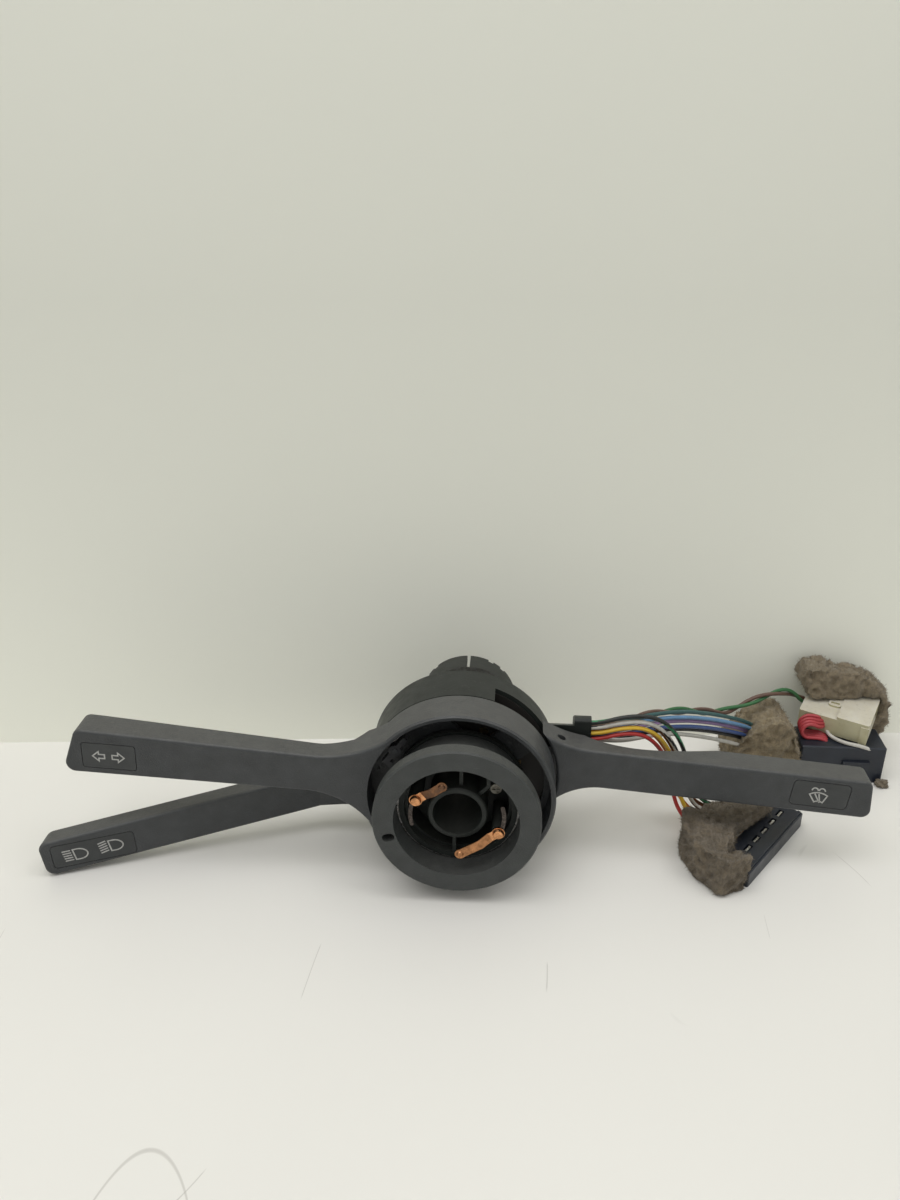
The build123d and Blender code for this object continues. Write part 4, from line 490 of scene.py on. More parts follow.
# ---------------------------------------------------------------- node trees
class Finish:
    """A material under construction: its node tree and short calls to add to it."""

    def __init__(self, name, roughness=0.5, metallic=0.0):
        self.material = bpy.data.materials.new(name)
        self.material.use_nodes = True
        self.tree = self.material.node_tree
        self.tree.nodes.clear()
        self.output = self.tree.nodes.new("ShaderNodeOutputMaterial")
        self.shader = self.tree.nodes.new("ShaderNodeBsdfPrincipled")
        self.shader.inputs["Roughness"].default_value = roughness
        self.shader.inputs["Metallic"].default_value = metallic
        self.join(self.shader.outputs["BSDF"], self.output.inputs["Surface"])
        self.place = self.tree.nodes.new("ShaderNodeTexCoord").outputs["Object"]

    def join(self, source, target):
        """Link one socket to another."""
        self.tree.links.new(source, target)

    def feed(self, value, target):
        """Give a socket its value: another socket, a number or a colour."""
        if isinstance(value, bpy.types.NodeSocket):
            self.join(value, target)
        elif isinstance(value, (int, float)):
            target.default_value = value
        else:
            target.default_value = (*value[:3], 1)

    def stretched(self, scale, turn=(0, 0, 0)):
        """Object coordinates, turned and then stretched by a factor for each axis."""
        node = self.tree.nodes.new("ShaderNodeMapping")
        node.inputs["Scale"].default_value = scale
        node.inputs["Rotation"].default_value = turn
        self.join(self.place, node.inputs["Vector"])
        return node.outputs["Vector"]

    def cloud(self, size, detail=3.0, rough=0.55, place=None):
        """Noise whose largest lumps are about size millimetres."""
        node = self.tree.nodes.new("ShaderNodeTexNoise")
        node.inputs["Scale"].default_value = 1 / mm(size)
        node.inputs["Detail"].default_value = detail
        node.inputs["Roughness"].default_value = rough
        self.join(place or self.place, node.inputs["Vector"])
        return node.outputs["Fac"]

    def cells(self, size):
        """Cell pattern of about size millimetres."""
        node = self.tree.nodes.new("ShaderNodeTexVoronoi")
        node.inputs["Scale"].default_value = 1 / mm(size)
        self.join(self.place, node.inputs["Vector"])
        return node.outputs["Distance"]

    def between(self, value, low, high, bottom=0.0, top=1.0):
        """Value from low to high as a number from bottom to top."""
        node = self.tree.nodes.new("ShaderNodeMapRange")
        node.inputs["From Min"].default_value = low
        node.inputs["From Max"].default_value = high
        node.inputs["To Min"].default_value = bottom
        node.inputs["To Max"].default_value = top
        self.join(value, node.inputs["Value"])
        return node.outputs["Result"]

    def times(self, first, second):
        """Product of two values, each a socket or a number."""
        node = self.tree.nodes.new("ShaderNodeMath")
        node.operation = "MULTIPLY"
        self.feed(first, node.inputs[0])
        self.feed(second, node.inputs[1])
        return node.outputs["Value"]

    def upward(self, vector):
        """Upward part of a vector."""
        node = self.tree.nodes.new("ShaderNodeSeparateXYZ")
        self.join(vector, node.inputs["Vector"])
        return node.outputs["Z"]

    def facing_up(self):
        """How far the surface faces upwards, 1 for level."""
        return self.upward(self.tree.nodes.new("ShaderNodeNewGeometry").outputs["Normal"])

    def height(self):
        """Height of the point above the switch's own zero, in metres."""
        return self.upward(self.place)

    def mix(self, share, first, second):
        """Colour between two, each a socket or a colour, by share."""
        node = self.tree.nodes.new("ShaderNodeMix")
        node.data_type = "RGBA"
        self.join(share, node.inputs["Factor"])
        self.feed(first, node.inputs[MIX_FIRST])
        self.feed(second, node.inputs[MIX_SECOND])
        return node.outputs[MIX_RESULT]

    def paint(self, colour):
        """Colour of the surface, a socket or a colour."""
        self.feed(colour, self.shader.inputs["Base Color"])

    def rough(self, value):
        """Roughness of the surface, from a socket."""
        self.join(value, self.shader.inputs["Roughness"])

    def raise_by(self, height, depth, below=None):
        """Bump of a depth in millimetres, over another bump if there is one."""
        node = self.tree.nodes.new("ShaderNodeBump")
        node.inputs["Distance"].default_value = mm(depth)
        self.join(height, node.inputs["Height"])
        if below:
            self.join(below, node.inputs["Normal"])
        self.join(node.outputs["Normal"], self.shader.inputs["Normal"])
        return node.outputs["Normal"]


def scuffs(finish, spacing, direction):
    """Sparse fine scratches that run along a direction, from 0 to 1."""
    streaks = finish.cloud(spacing, detail=2.0, place=finish.stretched((1, 9, 9), direction))
    patches = finish.between(finish.cloud(spacing * 4, detail=2.0), 0.5, 0.68)
    return finish.times(finish.between(streaks, 0.66, 0.7), patches)


def moulded_plastic(name, colour, roughness, grain, depth, dust_and_sheen, worn=0.3, shine=0.5):
    """Moulding with a grain of a size and depth in millimetres, dust and a painted sheen on top, and a
    little wear.
    """
    finish = Finish(name, roughness)
    finish.shader.inputs["Specular IOR Level"].default_value = shine
    shade = finish.between(finish.cloud(9, detail=4.0), 0.3, 0.7)
    base = finish.mix(shade, [c * 0.85 for c in colour], [c * 1.18 for c in colour])
    # Upward faces get lighter dust that also stands in for the sheen of the light from above: partly painted
    # highlight.
    level = finish.between(finish.facing_up(), 0.35, 1.0)
    dust_and_sheen_share = finish.times(level, finish.cloud(2.5, detail=5.0, rough=0.7))
    dusty_and_sheened = finish.mix(finish.times(dust_and_sheen_share, dust_and_sheen), base, DUST_AND_SHEEN)
    marks = finish.times(scuffs(finish, 3.0, (0.3, 0.9, 0.2)), worn)
    finish.paint(finish.mix(marks, dusty_and_sheened, SCRATCH))
    finish.rough(finish.between(finish.cloud(5, detail=4.0), 0.25, 0.75, roughness - 0.07, roughness + 0.09))
    low = finish.raise_by(finish.cells(grain), depth)
    finish.raise_by(finish.cloud(grain * 0.6, detail=2.0), depth * 0.6, low)
    return finish.material


def bare_metal(name, colour, tarnish, roughness, spread):
    """Metal with patches of tarnish and fine brushing."""
    finish = Finish(name, roughness, metallic=1.0)
    patches = finish.between(finish.cloud(2.2, detail=5.0, rough=0.65), 0.5 - spread, 0.5 + spread)
    finish.paint(finish.mix(patches, colour, tarnish))
    finish.rough(finish.between(finish.cloud(1.4, detail=4.0), 0.3, 0.7, roughness - 0.08, roughness + 0.16))
    brushed = finish.cloud(0.25, detail=2.0, place=finish.stretched((1, 6, 6), (0.2, 0.4, 0.1)))
    finish.raise_by(brushed, 0.02)
    return finish.material


def soft_insulation(name, colour):
    """PVC sleeve of a wire, slightly soiled."""
    finish = Finish(name, roughness=0.38)
    soiled = finish.between(finish.cloud(4, detail=4.0), 0.35, 0.75, 0.0, 0.45)
    finish.paint(finish.mix(soiled, colour, [c * 0.55 + 0.012 for c in colour]))
    finish.rough(finish.between(finish.cloud(2), 0.3, 0.7, 0.3, 0.52))
    finish.raise_by(finish.cloud(0.9), 0.03)
    return finish.material


# ---------------------------------------------------------------- settings
class StageSettings(bpy.types.PropertyGroup):
    """Table, wall and light"""

    table_colour: FloatVectorProperty(
        name="Table",
        description="Colour of the table top",
        default=(0.8, 0.785, 0.745),
        subtype="COLOR",
    )
    wall_colour: FloatVectorProperty(
        name="Wall",
        description="Colour of the wall behind the table",
        default=(0.73, 0.735, 0.655),
        subtype="COLOR",
    )
    wall_gap: FloatProperty(
        name="Wall distance",
        description="Distance from the clamp's rear mouth to the wall",
        default=mm(28.0),
        unit="LENGTH",
    )
    wall_turn: FloatProperty(
        name="Wall turn",
        description="Angle of the wall to the switch",
        default=math.radians(5.0),
        subtype="ANGLE",
    )
    daylight: FloatProperty(name="Room light", description="Strength of the room's own light", default=0.56)


class SurfaceSettings(bpy.types.PropertyGroup):
    """Mouldings and metals"""

    stalk_colour: FloatVectorProperty(
        name="Stalks",
        description="Colour of the grained stalks",
        default=(0.036, 0.039, 0.041),
        subtype="COLOR",
    )
    drum_colour: FloatVectorProperty(
        name="Drum",
        description="Colour of the drum and the column carrier",
        default=(0.016, 0.019, 0.017),
        subtype="COLOR",
    )
    grain: FloatProperty(
        name="Grain", description="Size of the stalks' moulded grain, in millimetres", default=0.7
    )
    copper_colour: FloatVectorProperty(
        name="Horn strips",
        description="Colour of the horn contacts' copper alloy",
        default=(0.86, 0.42, 0.2),
        subtype="COLOR",
    )


class LoomSettings(bpy.types.PropertyGroup):
    """Wires"""

    thickness: FloatProperty(
        name="Wire", description="Diameter of a wire over its insulation", default=mm(2.0), unit="LENGTH"
    )
    sides: IntProperty(name="Sides", description="Sides of a striped wire's sleeve", default=16)


class FoamSettings(bpy.types.PropertyGroup):
    """Torn foam strips"""

    lumps: FloatProperty(
        name="Lumps", description="Height of the foam's larger lumps", default=mm(2.4), unit="LENGTH"
    )
    voxel: FloatProperty(
        name="Mesh", description="Spacing of the foam's mesh", default=mm(1.15), unit="LENGTH"
    )
    colour: FloatVectorProperty(
        name="Foam",
        description="Colour of the foam",
        default=(0.2, 0.163, 0.108),
        subtype="COLOR",
    )


class SignSettings(bpy.types.PropertyGroup):
    """Printed signs"""

    colour: FloatVectorProperty(
        name="Print",
        description="Colour of the printed signs",
        default=(0.44, 0.44, 0.42),
        subtype="COLOR",
    )
    stroke: FloatProperty(
        name="Stroke", description="Width of a printed line, in millimetres", default=0.62
    )


# ---------------------------------------------------------------- stage
class SWITCH_OT_stage(bpy.types.Operator):
    """Set up the table, the wall, the lamps and the camera"""

    bl_idname = "switch.stage"
    bl_label = "Stage"

    def execute(self, context):
        settings = context.scene.switch_stage
        self.camera(context)
        self.table(settings)
        self.wall(settings)
        self.lamps(context, settings)
        context.scene.view_settings.view_transform = "Standard"
        return {"FINISHED"}

    def camera(self, context):
        """Look down on the switch from in front of it."""
        data = bpy.data.cameras.new("camera")
        data.sensor_width = CAMERA_SENSOR
        data.lens = CAMERA_LENS
        data.clip_start = mm(CAMERA_NEAR)
        camera = link("camera", data)
        back = -Vector(CAMERA_AIM).normalized()
        right = Vector(CAMERA_RIGHT).normalized()
        up = back.cross(right)
        turn = Matrix((right, up, back)).transposed().to_4x4()
        camera.matrix_world = Matrix.Translation(Vector(mm(*CAMERA_PLACE))) @ turn
        context.scene.camera = camera

    def table(self, settings):
        """Pale laminate with a few worn lines."""
        mesh = bpy.data.meshes.new("table")
        reach = mm(TABLE_REACH)
        corners = [(-reach, -reach), (reach, -reach), (reach, reach), (-reach, reach)]
        mesh.from_pydata([(x, y, TABLE_TOP) for x, y in corners], [], [(0, 1, 2, 3)])
        table = link("table", mesh)
        finish = Finish("table_laminate", roughness=0.42)
        tone = finish.between(finish.cloud(260, detail=2.0), 0.3, 0.7)
        low = [c * 0.965 for c in settings.table_colour]
        worn = finish.mix(tone, low, settings.table_colour)
        for size, turn, least, wide in TABLE_WEAR:
            place = finish.stretched((1, 0.3, 1), (0, 0, turn))
            waves = finish.cloud(size, detail=1.0, rough=0.3, place=place)
            line = finish.between(waves, 0.5 - wide, 0.5 + wide)
            crest = finish.times(finish.times(line, finish.between(line, 0, 1, 1, 0)), 4)
            patch = finish.between(finish.cloud(size * 0.5, detail=1.0, rough=0.4), least, least + 0.03)
            worn = finish.mix(finish.times(finish.times(crest, patch), 0.5), worn, WORN_LAMINATE)
        finish.paint(worn)
        mesh.materials.append(finish.material)

    def wall(self, settings):
        """Painted wall, with painted light that brightens its foot, and clear from behind."""
        mesh = bpy.data.meshes.new("wall")
        along = Vector((math.cos(settings.wall_turn), math.sin(settings.wall_turn), 0))
        foot = Vector((0, settings.wall_gap, TABLE_TOP))
        left, right = foot - along * mm(WALL_REACH), foot + along * mm(WALL_REACH)
        rise = Vector((0, 0, mm(WALL_REACH)))
        mesh.from_pydata([left, right, right + rise, left + rise], [], [(0, 1, 2, 3)])
        wall = link("wall", mesh)
        finish = Finish("wall_paint", roughness=0.75)
        tone = finish.between(finish.cloud(400, detail=2.0), 0.3, 0.7)
        base = finish.mix(tone, [c * 0.97 for c in settings.wall_colour], settings.wall_colour)
        # The wall's foot is painted brighter: painted light that fades out upwards.
        foot_painted_light = [c * WALL_FOOT_LIGHT_GAIN for c in settings.wall_colour]
        low = finish.between(finish.height(), TABLE_TOP, mm(WALL_FOOT_LIGHT_TOP), 1, 0)
        finish.paint(finish.mix(low, base, foot_painted_light))
        clear = finish.tree.nodes.new("ShaderNodeBsdfTransparent")
        rear = finish.tree.nodes.new("ShaderNodeNewGeometry").outputs["Backfacing"]
        pick = finish.tree.nodes.new("ShaderNodeMixShader")
        finish.join(rear, pick.inputs[0])
        finish.join(finish.shader.outputs["BSDF"], pick.inputs[1])
        finish.join(clear.outputs["BSDF"], pick.inputs[2])
        finish.join(pick.outputs["Shader"], finish.output.inputs["Surface"])
        mesh.materials.append(finish.material)

    def lamps(self, context, settings):
        """Even light from the room and two wide lamps over the switch."""
        world = bpy.data.worlds.new("room")
        world.use_nodes = True
        background = world.node_tree.nodes["Background"]
        background.inputs["Color"].default_value = (*ROOM_COLOUR, 1)
        background.inputs["Strength"].default_value = settings.daylight
        context.scene.world = world
        for name, (spot, width, power) in LAMPS.items():
            data = bpy.data.lights.new(name, "AREA")
            data.size = mm(width)
            data.energy = power
            lamp = link(name, data)
            lamp.location = mm(*spot)
            lamp.rotation_euler = (-lamp.location).to_track_quat("-Z", "Y").to_euler()


# ---------------------------------------------------------------- wires
def route_curve(name, route):
    """Smooth curve along a route given in millimetres."""
    curve = bpy.data.curves.new(name, "CURVE")
    curve.dimensions = "3D"
    curve.resolution_u = 8
    spline = curve.splines.new("NURBS")
    spline.points.add(len(route) - 1)
    for point, spot in zip(spline.points, route):
        point.co = (*mm(*spot), 1)
    spline.order_u = 3
    spline.use_endpoint_u = True
    return curve


def points_along(curve):
    """Points of a curve's own line, in order."""
    holder = link("line", curve)
    bpy.context.view_layer.update()
    mesh = bpy.data.meshes.new_from_object(holder)
    points = [vertex.co.copy() for vertex in mesh.vertices]
    bpy.data.objects.remove(holder)
    bpy.data.meshes.remove(mesh)
    return points


def line_length(points):
    """Length of a line through points."""
    return sum((after - before).length for before, after in zip(points, points[1:]))


def even_steps(points, steps):
    """Points at equal steps along a line, each with its direction."""
    total = line_length(points)
    found = []
    walked, spot = 0.0, 0
    for step in range(steps + 1):
        goal = total * step / steps
        while spot < len(points) - 2 and walked + (points[spot + 1] - points[spot]).length < goal:
            walked += (points[spot + 1] - points[spot]).length
            spot += 1
        run = points[spot + 1] - points[spot]
        found.append((points[spot] + run.normalized() * (goal - walked), run.normalized()))
    return found


def twisted_route(turn_start):
    """Route of one core of the twisted pair, in millimetres."""
    route = []
    places = even_steps(points_along(route_curve("pair_line", PAIR_ROUTE)), PAIR_STEPS)
    for step, (here, along) in enumerate(places):
        side = along.cross(Vector((0, 0, 1))).normalized()
        turn = math.radians(turn_start + PAIR_TURN * step)
        reach = side * (PAIR_REACH * math.cos(turn)) + along.cross(side) * (PAIR_REACH * math.sin(turn))
        route.append(tuple(here * 1000 + reach))
    return route


def plain_wire(name, route, thickness, material):
    """Wire as a bevelled curve."""
    curve = route_curve(name, route)
    length = line_length(points_along(route_curve("measure", route)))
    curve.bevel_depth = thickness / 2
    curve.bevel_resolution = 4
    curve.use_fill_caps = True
    curve.materials.append(material)
    return link(name, curve), length, None


def striped_wire(name, route, thickness, sides, material, tracer):
    """Wire as a tube whose tracer stripe winds slowly round it."""
    places = points_along(route_curve("stripe_line", route))
    length = line_length(places)
    steps = even_steps(places, round(length / mm(STRIPE_STEP)))
    turns = [2 * math.pi * index / sides for index in range(sides)]
    mesh = bmesh.new()
    rings = []
    side = Vector((0, 0, 1))
    for here, along in steps:
        side = (side - along * side.dot(along)).normalized()
        other = along.cross(side)
        spokes = [(side * math.cos(turn) + other * math.sin(turn)) * thickness / 2 for turn in turns]
        rings.append([mesh.verts.new(here + spoke) for spoke in spokes])
    for step, (near, far) in enumerate(zip(rings, rings[1:])):
        for index in range(sides):
            after = (index + 1) % sides
            face = mesh.faces.new((near[index], near[after], far[after], far[index]))
            wound = (index + round(step * STRIPE_TURN)) % sides
            face.material_index = 1 if wound < STRIPE_SIDES else 0
            face.smooth = True
    mesh.faces.new(reversed(rings[0]))
    mesh.faces.new(rings[-1])
    data = bpy.data.meshes.new(name)
    mesh.to_mesh(data)
    mesh.free()
    data.materials.append(material)
    data.materials.append(tracer)
    return link(name, data), length, [tuple(here) for here, along in steps]


def lay_wire(name, route, settings, look=None):
    """One wire as a cord, in place of its plain solid where it has one."""
    look = look or name
    thickness, sides = settings.thickness, settings.sides
    core, tracer = INSULATION[look]
    sleeve = soft_insulation(name + "_sleeve", core)
    if tracer:
        stripe = soft_insulation(name + "_tracer", tracer)
        piece, length, path = striped_wire(name + "_lead", route, thickness, sides, sleeve, stripe)
    else:
        piece, length, path = plain_wire(name + "_lead", route, thickness, sleeve)
    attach(piece, HOLDER)
    if name + "_wire" in NODES:
        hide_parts(name + "_wire")


class SWITCH_OT_front_loom(bpy.types.Operator):
    """Lay the wires that run down behind the wiper stalk to the low connector"""

    bl_idname = "switch.front_loom"
    bl_label = "Front loom"

    def execute(self, context):
        settings = context.scene.switch_loom
        for name, route in FRONT_LOOM.items():
            lay_wire(name, route, settings)
        return {"FINISHED"}


class SWITCH_OT_rear_loom(bpy.types.Operator):
    """Lay the wires that run back to the black box connector"""

    bl_idname = "switch.rear_loom"
    bl_label = "Rear loom"

    def execute(self, context):
        settings = context.scene.switch_loom
        for name, route in (REAR_LOOM | SPARE_LOOM).items():
            lay_wire(name, route, settings)
        return {"FINISHED"}


class SWITCH_OT_twisted_pair(bpy.types.Operator):
    """Lay the twisted pair that runs to the pale connector"""

    bl_idname = "switch.twisted_pair"
    bl_label = "Twisted pair"

    def execute(self, context):
        settings = context.scene.switch_loom
        for name, turn_start in PAIR_STARTS.items():
            lay_wire(name, twisted_route(turn_start), settings)
        return {"FINISHED"}


class SWITCH_OT_jumpers(bpy.types.Operator):
    """Lay the short wires that turn back from the black box connector to the pale one"""

    bl_idname = "switch.jumpers"
    bl_label = "Jumper wires"

    def execute(self, context):
        settings = context.scene.switch_loom
        for name, route in JUMPERS.items():
            lay_wire(name, route, settings, name if name in INSULATION else "jumper")
        return {"FINISHED"}


# ---------------------------------------------------------------- foam
def whole_strip(node):
    """Mesh of a foam strip; the middle one comes without the hollow for its wires."""
    strip = bmesh.new()
    strip.from_mesh(NODES[node].data)
    if node == "foam_middle":
        hull = bmesh.ops.convex_hull(strip, input=strip.verts)
        spare = hull["geom_interior"] + hull["geom_unused"]
        inner = list({item for item in spare if isinstance(item, bmesh.types.BMVert)})
        bmesh.ops.delete(strip, geom=inner, context="VERTS")
    mesh = bpy.data.meshes.new(node + "_strip")
    strip.to_mesh(mesh)
    strip.free()
    return mesh


def torn_foam(node, settings, seed):
    """Lumpy torn strip in place of the plain CAD foam."""
    piece = link(node.replace("foam", "sponge"), whole_strip(node))
    remesh = piece.modifiers.new("even mesh", "REMESH")
    remesh.mode = "VOXEL"
    remesh.voxel_size = settings.voxel
    shaped = piece.evaluated_get(bpy.context.evaluated_depsgraph_get())
    mesh = bpy.data.meshes.new_from_object(shaped)
    piece.modifiers.clear()
    piece.data = mesh
    shift = Vector([seed * stride for stride in STRIP_STRIDE])
    normals = [vertex.normal.copy() for vertex in mesh.vertices]
    underside = TABLE_TOP + mm(UNDERSIDE_HEIGHT)
    for vertex, normal in zip(mesh.vertices, normals):
        spot = vertex.co * 1000
        lump = noise.noise(spot / LUMP_SIZE + shift) * settings.lumps
        tear = -abs(noise.noise(spot / TEAR_SIZE + shift * 2)) * settings.lumps * TEAR_DEPTH
        crumb = noise.noise(spot / CRUMB_SIZE + shift) * mm(CRUMB_HEIGHT)
        keep = UNDERSIDE_SHARE if vertex.co.z < underside else 1.0
        vertex.co += normal * min(lump + tear + crumb, mm(SWELL_LIMIT)) * keep
        vertex.co.z = max(vertex.co.z, TABLE_TOP)
    mesh.shade_smooth()
    return piece


def foam_scrap(place, size):
    """Small torn crumb of foam, flattened on the table."""
    crumb = bmesh.new()
    bmesh.ops.create_icosphere(crumb, subdivisions=4, radius=1)
    for vertex in crumb.verts:
        swell = 1 + noise.noise(vertex.co * 1.7) * 0.5 + noise.noise(vertex.co * 5.1) * 0.25
        spot = Vector([mm(reach) * share * swell for reach, share in zip(size, vertex.co)]) + place
        vertex.co = (spot.x, spot.y, max(spot.z, TABLE_TOP))
    mesh = bpy.data.meshes.new("foam_scrap")
    crumb.to_mesh(mesh)
    crumb.free()
    mesh.shade_smooth()
    return link("foam_scrap", mesh)


def fuzz(piece, seed):
    """Short torn fibres that stand off a foam strip, as one mesh of thin blades."""
    faces = piece.data.polygons
    blades = bmesh.new()
    across, along, up = FIBRE_STRIDE
    for index in range(0, len(faces), max(1, len(faces) // FIBRE_COUNT)):
        face = faces[index]
        sway = noise.noise_vector(Vector((index * across + seed, index * along, index * up)))
        lean = (face.normal * FIBRE_STAND + sway * FIBRE_SWAY).normalized()
        tip = face.center + lean * mm(FIBRE_REACH) * (FIBRE_SHORTEST + abs(sway.x))
        if tip.z < TABLE_TOP + mm(FIBRE_CLEARANCE):
            continue
        side = face.normal.cross(sway).normalized() * mm(FIBRE_HALF_WIDTH)
        blades.faces.new(
            [blades.verts.new(corner) for corner in (face.center - side, face.center + side, tip)]
        )
    data = bpy.data.meshes.new(piece.name + "_fuzz")
    blades.to_mesh(data)
    blades.free()
    return link(data.name, data)


def foam_finish(name, colour):
    """Matted torn foam, darker in random matted patches, with a painted highlight on its raised strands."""
    finish = Finish(name, roughness=0.97)
    wide = finish.between(finish.cloud(14, detail=4.0), 0.3, 0.7)
    base = finish.mix(wide, [c * 0.6 for c in colour], [c * 1.25 for c in colour])
    matted = finish.between(finish.cloud(2.6, detail=6.0, rough=0.72), 0.32, 0.62)
    base = finish.mix(matted, [c * 0.5 for c in colour], base)
    drawn = finish.stretched((1, 3, 1), (0.4, 0.7, 0.3))
    strands = finish.cloud(0.7, detail=4.0, rough=0.7, place=drawn)
    # The raised strands are painted lighter: painted highlight on the crests of their bump.
    finish.paint(finish.mix(finish.between(strands, 0.42, 0.75), base, [c * 1.55 for c in colour]))
    low = finish.raise_by(finish.cloud(2.4, detail=7.0, rough=0.8), 1.1)
    finish.raise_by(strands, 0.35, low)
    finish.shader.inputs["Sheen Weight"].default_value = 0.25
    finish.shader.inputs["Sheen Roughness"].default_value = 0.6
    return finish.material


class SWITCH_OT_foam(bpy.types.Operator):
    """Shape the torn foam strips round the connectors"""

    bl_idname = "switch.foam"
    bl_label = "Foam"

    def execute(self, context):
        settings = context.scene.switch_foam
        noise.seed_set(FIBRE_SEED)
        materials = {}
        # Each strip's tint; the low strip's darker one is painted shade.
        for seed, (node, tint_and_shade) in enumerate(FOAM_STRIPS.items()):
            colour = [c * share for c, share in zip(settings.colour, tint_and_shade)]
            materials[node] = foam_finish(node.replace("foam", "torn_foam"), colour)
            piece = torn_foam(node, settings, seed)
            piece.data.materials.clear()
            fibres = fuzz(piece, seed)
            self.lay(piece, materials[node])
            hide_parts(node)
            self.lay(fibres, materials[node])
        scrap = foam_scrap(Vector(mm(*FOAM_SCRAP)), FOAM_SCRAP_REACH)
        # The crumb takes the low strip's finish, with its painted shade.
        self.lay(scrap, materials["foam_low"])
        return {"FINISHED"}

    def lay(self, piece, material):
        """Put a piece of foam in its place with its finish."""
        piece.data.materials.append(material)
        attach(piece, HOLDER)


# ---------------------------------------------------------------- mouldings and metals
class SWITCH_OT_mouldings(bpy.types.Operator):
    """Finish the plastic mouldings: stalks, ring, drum, carrier, hubs and inlays"""

    bl_idname = "switch.mouldings"
    bl_label = "Mouldings"

    def execute(self, context):
        settings = context.scene.switch_surfaces
        black, grain = settings.drum_colour, settings.grain
        stalk = moulded_plastic(
            "stalk_plastic", settings.stalk_colour, roughness=0.47, grain=grain, depth=0.1, dust_and_sheen=0.42
        )
        ring = moulded_plastic(
            "ring_plastic", (0.034, 0.038, 0.037), roughness=0.5, grain=grain, depth=0.09, dust_and_sheen=0.3
        )
        drum = moulded_plastic(
            "drum_plastic", black, roughness=0.4, grain=1.6, depth=0.025, dust_and_sheen=0.1, worn=0.7, shine=0.25
        )
        carrier = moulded_plastic(
            "carrier_plastic", black, roughness=0.45, grain=1.6, depth=0.025, dust_and_sheen=0.2, worn=0.4, shine=0.25
        )
        inlay = moulded_plastic(
            "inlay_plastic",
            (0.031, 0.034, 0.035),
            roughness=0.42,
            grain=0.9,
            depth=0.012,
            dust_and_sheen=0.25,
            worn=0.2,
        )
        hub = moulded_plastic(
            "hub_plastic", (0.03, 0.031, 0.033), roughness=0.4, grain=2.0, depth=0.015, dust_and_sheen=0.12, worn=0.2
        )
        dress(stalk, "indicator_lever", "wiper_lever", "light_lever")
        dress(ring, "cancel_ring")
        dress(drum, "drum_housing", "cable_clip")
        dress(carrier, "column_carrier", "contact_carrier")
        dress(inlay, "indicator_plate", "wiper_plate", "light_plate")
        dress(hub, "cancel_pawl", "wiper_hub", "light_hub")
        return {"FINISHED"}


def laminate(name):
    """Dark laminate of the contact boards, with its fibres."""
    finish = Finish(name)
    weave = finish.cloud(0.6, place=finish.stretched((1, 8, 8)))
    finish.paint(finish.mix(finish.between(weave, 0.35, 0.65), (0.013, 0.012, 0.011), (0.022, 0.019, 0.016)))
    finish.raise_by(weave, 0.02)
    return finish.material


# Metals: bright colour, tarnished colour, roughness, spread of the tarnish, and the pieces.
METALS = {
    "blackened_steel": ((0.07, 0.07, 0.072), (0.03, 0.028, 0.026), 0.36, 0.12, ("clamp_band",)),
    "zinc_plate": (
        (0.56, 0.54, 0.48),
        (0.32, 0.3, 0.25),
        0.34,
        0.12,
        ("clamp_bolt", "clamp_nut", "drum_screws", "carrier_screws"),
    ),
    "spring_steel": (
        (0.5, 0.5, 0.5),
        (0.28, 0.26, 0.24),
        0.28,
        0.1,
        (
            "ring_clip",
            "indicator_detent_ball",
            "indicator_detent_spring",
            "pawl_spring",
            "wiper_pivot_pin",
            "wiper_detent_ball",
            "wiper_detent_spring",
            "light_pivot_pin",
            "light_detent_ball",
            "light_detent_spring",
        ),
    ),
    "contact_brass": (
        (0.4, 0.3, 0.16),
        (0.2, 0.14, 0.08),
        0.34,
        0.12,
        ("contact_pads", "indicator_bridge", "wiper_bridge", "light_bridge"),
    ),
    "tinned_copper": ((0.82, 0.82, 0.8), (0.5, 0.49, 0.46), 0.26, 0.14, ("low_terminals",)),
    # The tinned horn terminals are painted dark: painted shade where they sit in shadow.
    "horn_terminals_painted_shade": ((0.13, 0.11, 0.1), (0.03, 0.027, 0.025), 0.3, 0.16, ("horn_terminals",)),
}


class SWITCH_OT_metals(bpy.types.Operator):
    """Finish the clamp, the screws, the springs, the contacts and the boards"""

    bl_idname = "switch.metals"
    bl_label = "Metals"

    def execute(self, context):
        settings = context.scene.switch_surfaces
        copper = settings.copper_colour
        coppers = {
            "horn_copper": (copper, [c * 0.45 for c in copper], 0.24, 0.16, ("horn_feet", "horn_rivets")),
            "horn_strip_lower": (
                [c * 0.7 for c in copper],
                [c * 0.3 for c in copper],
                0.32,
                0.2,
                ("horn_blade_lower",),
            ),
            # The upper strip's dark colours are painted shade of the recess it sits in.
            "horn_strip_upper_painted_shade": (
                [c * 0.3 for c in copper],
                (0.08, 0.058, 0.05),
                0.34,
                0.22,
                ("horn_blade_upper",),
            ),
        }
        for name, (bright, tarnish, roughness, spread, nodes) in (METALS | coppers).items():
            dress(bare_metal(name, bright, tarnish, roughness, spread), *nodes)
        dress(laminate("board_laminate"), "light_board", "wiper_board", "indicator_board")
        return {"FINISHED"}


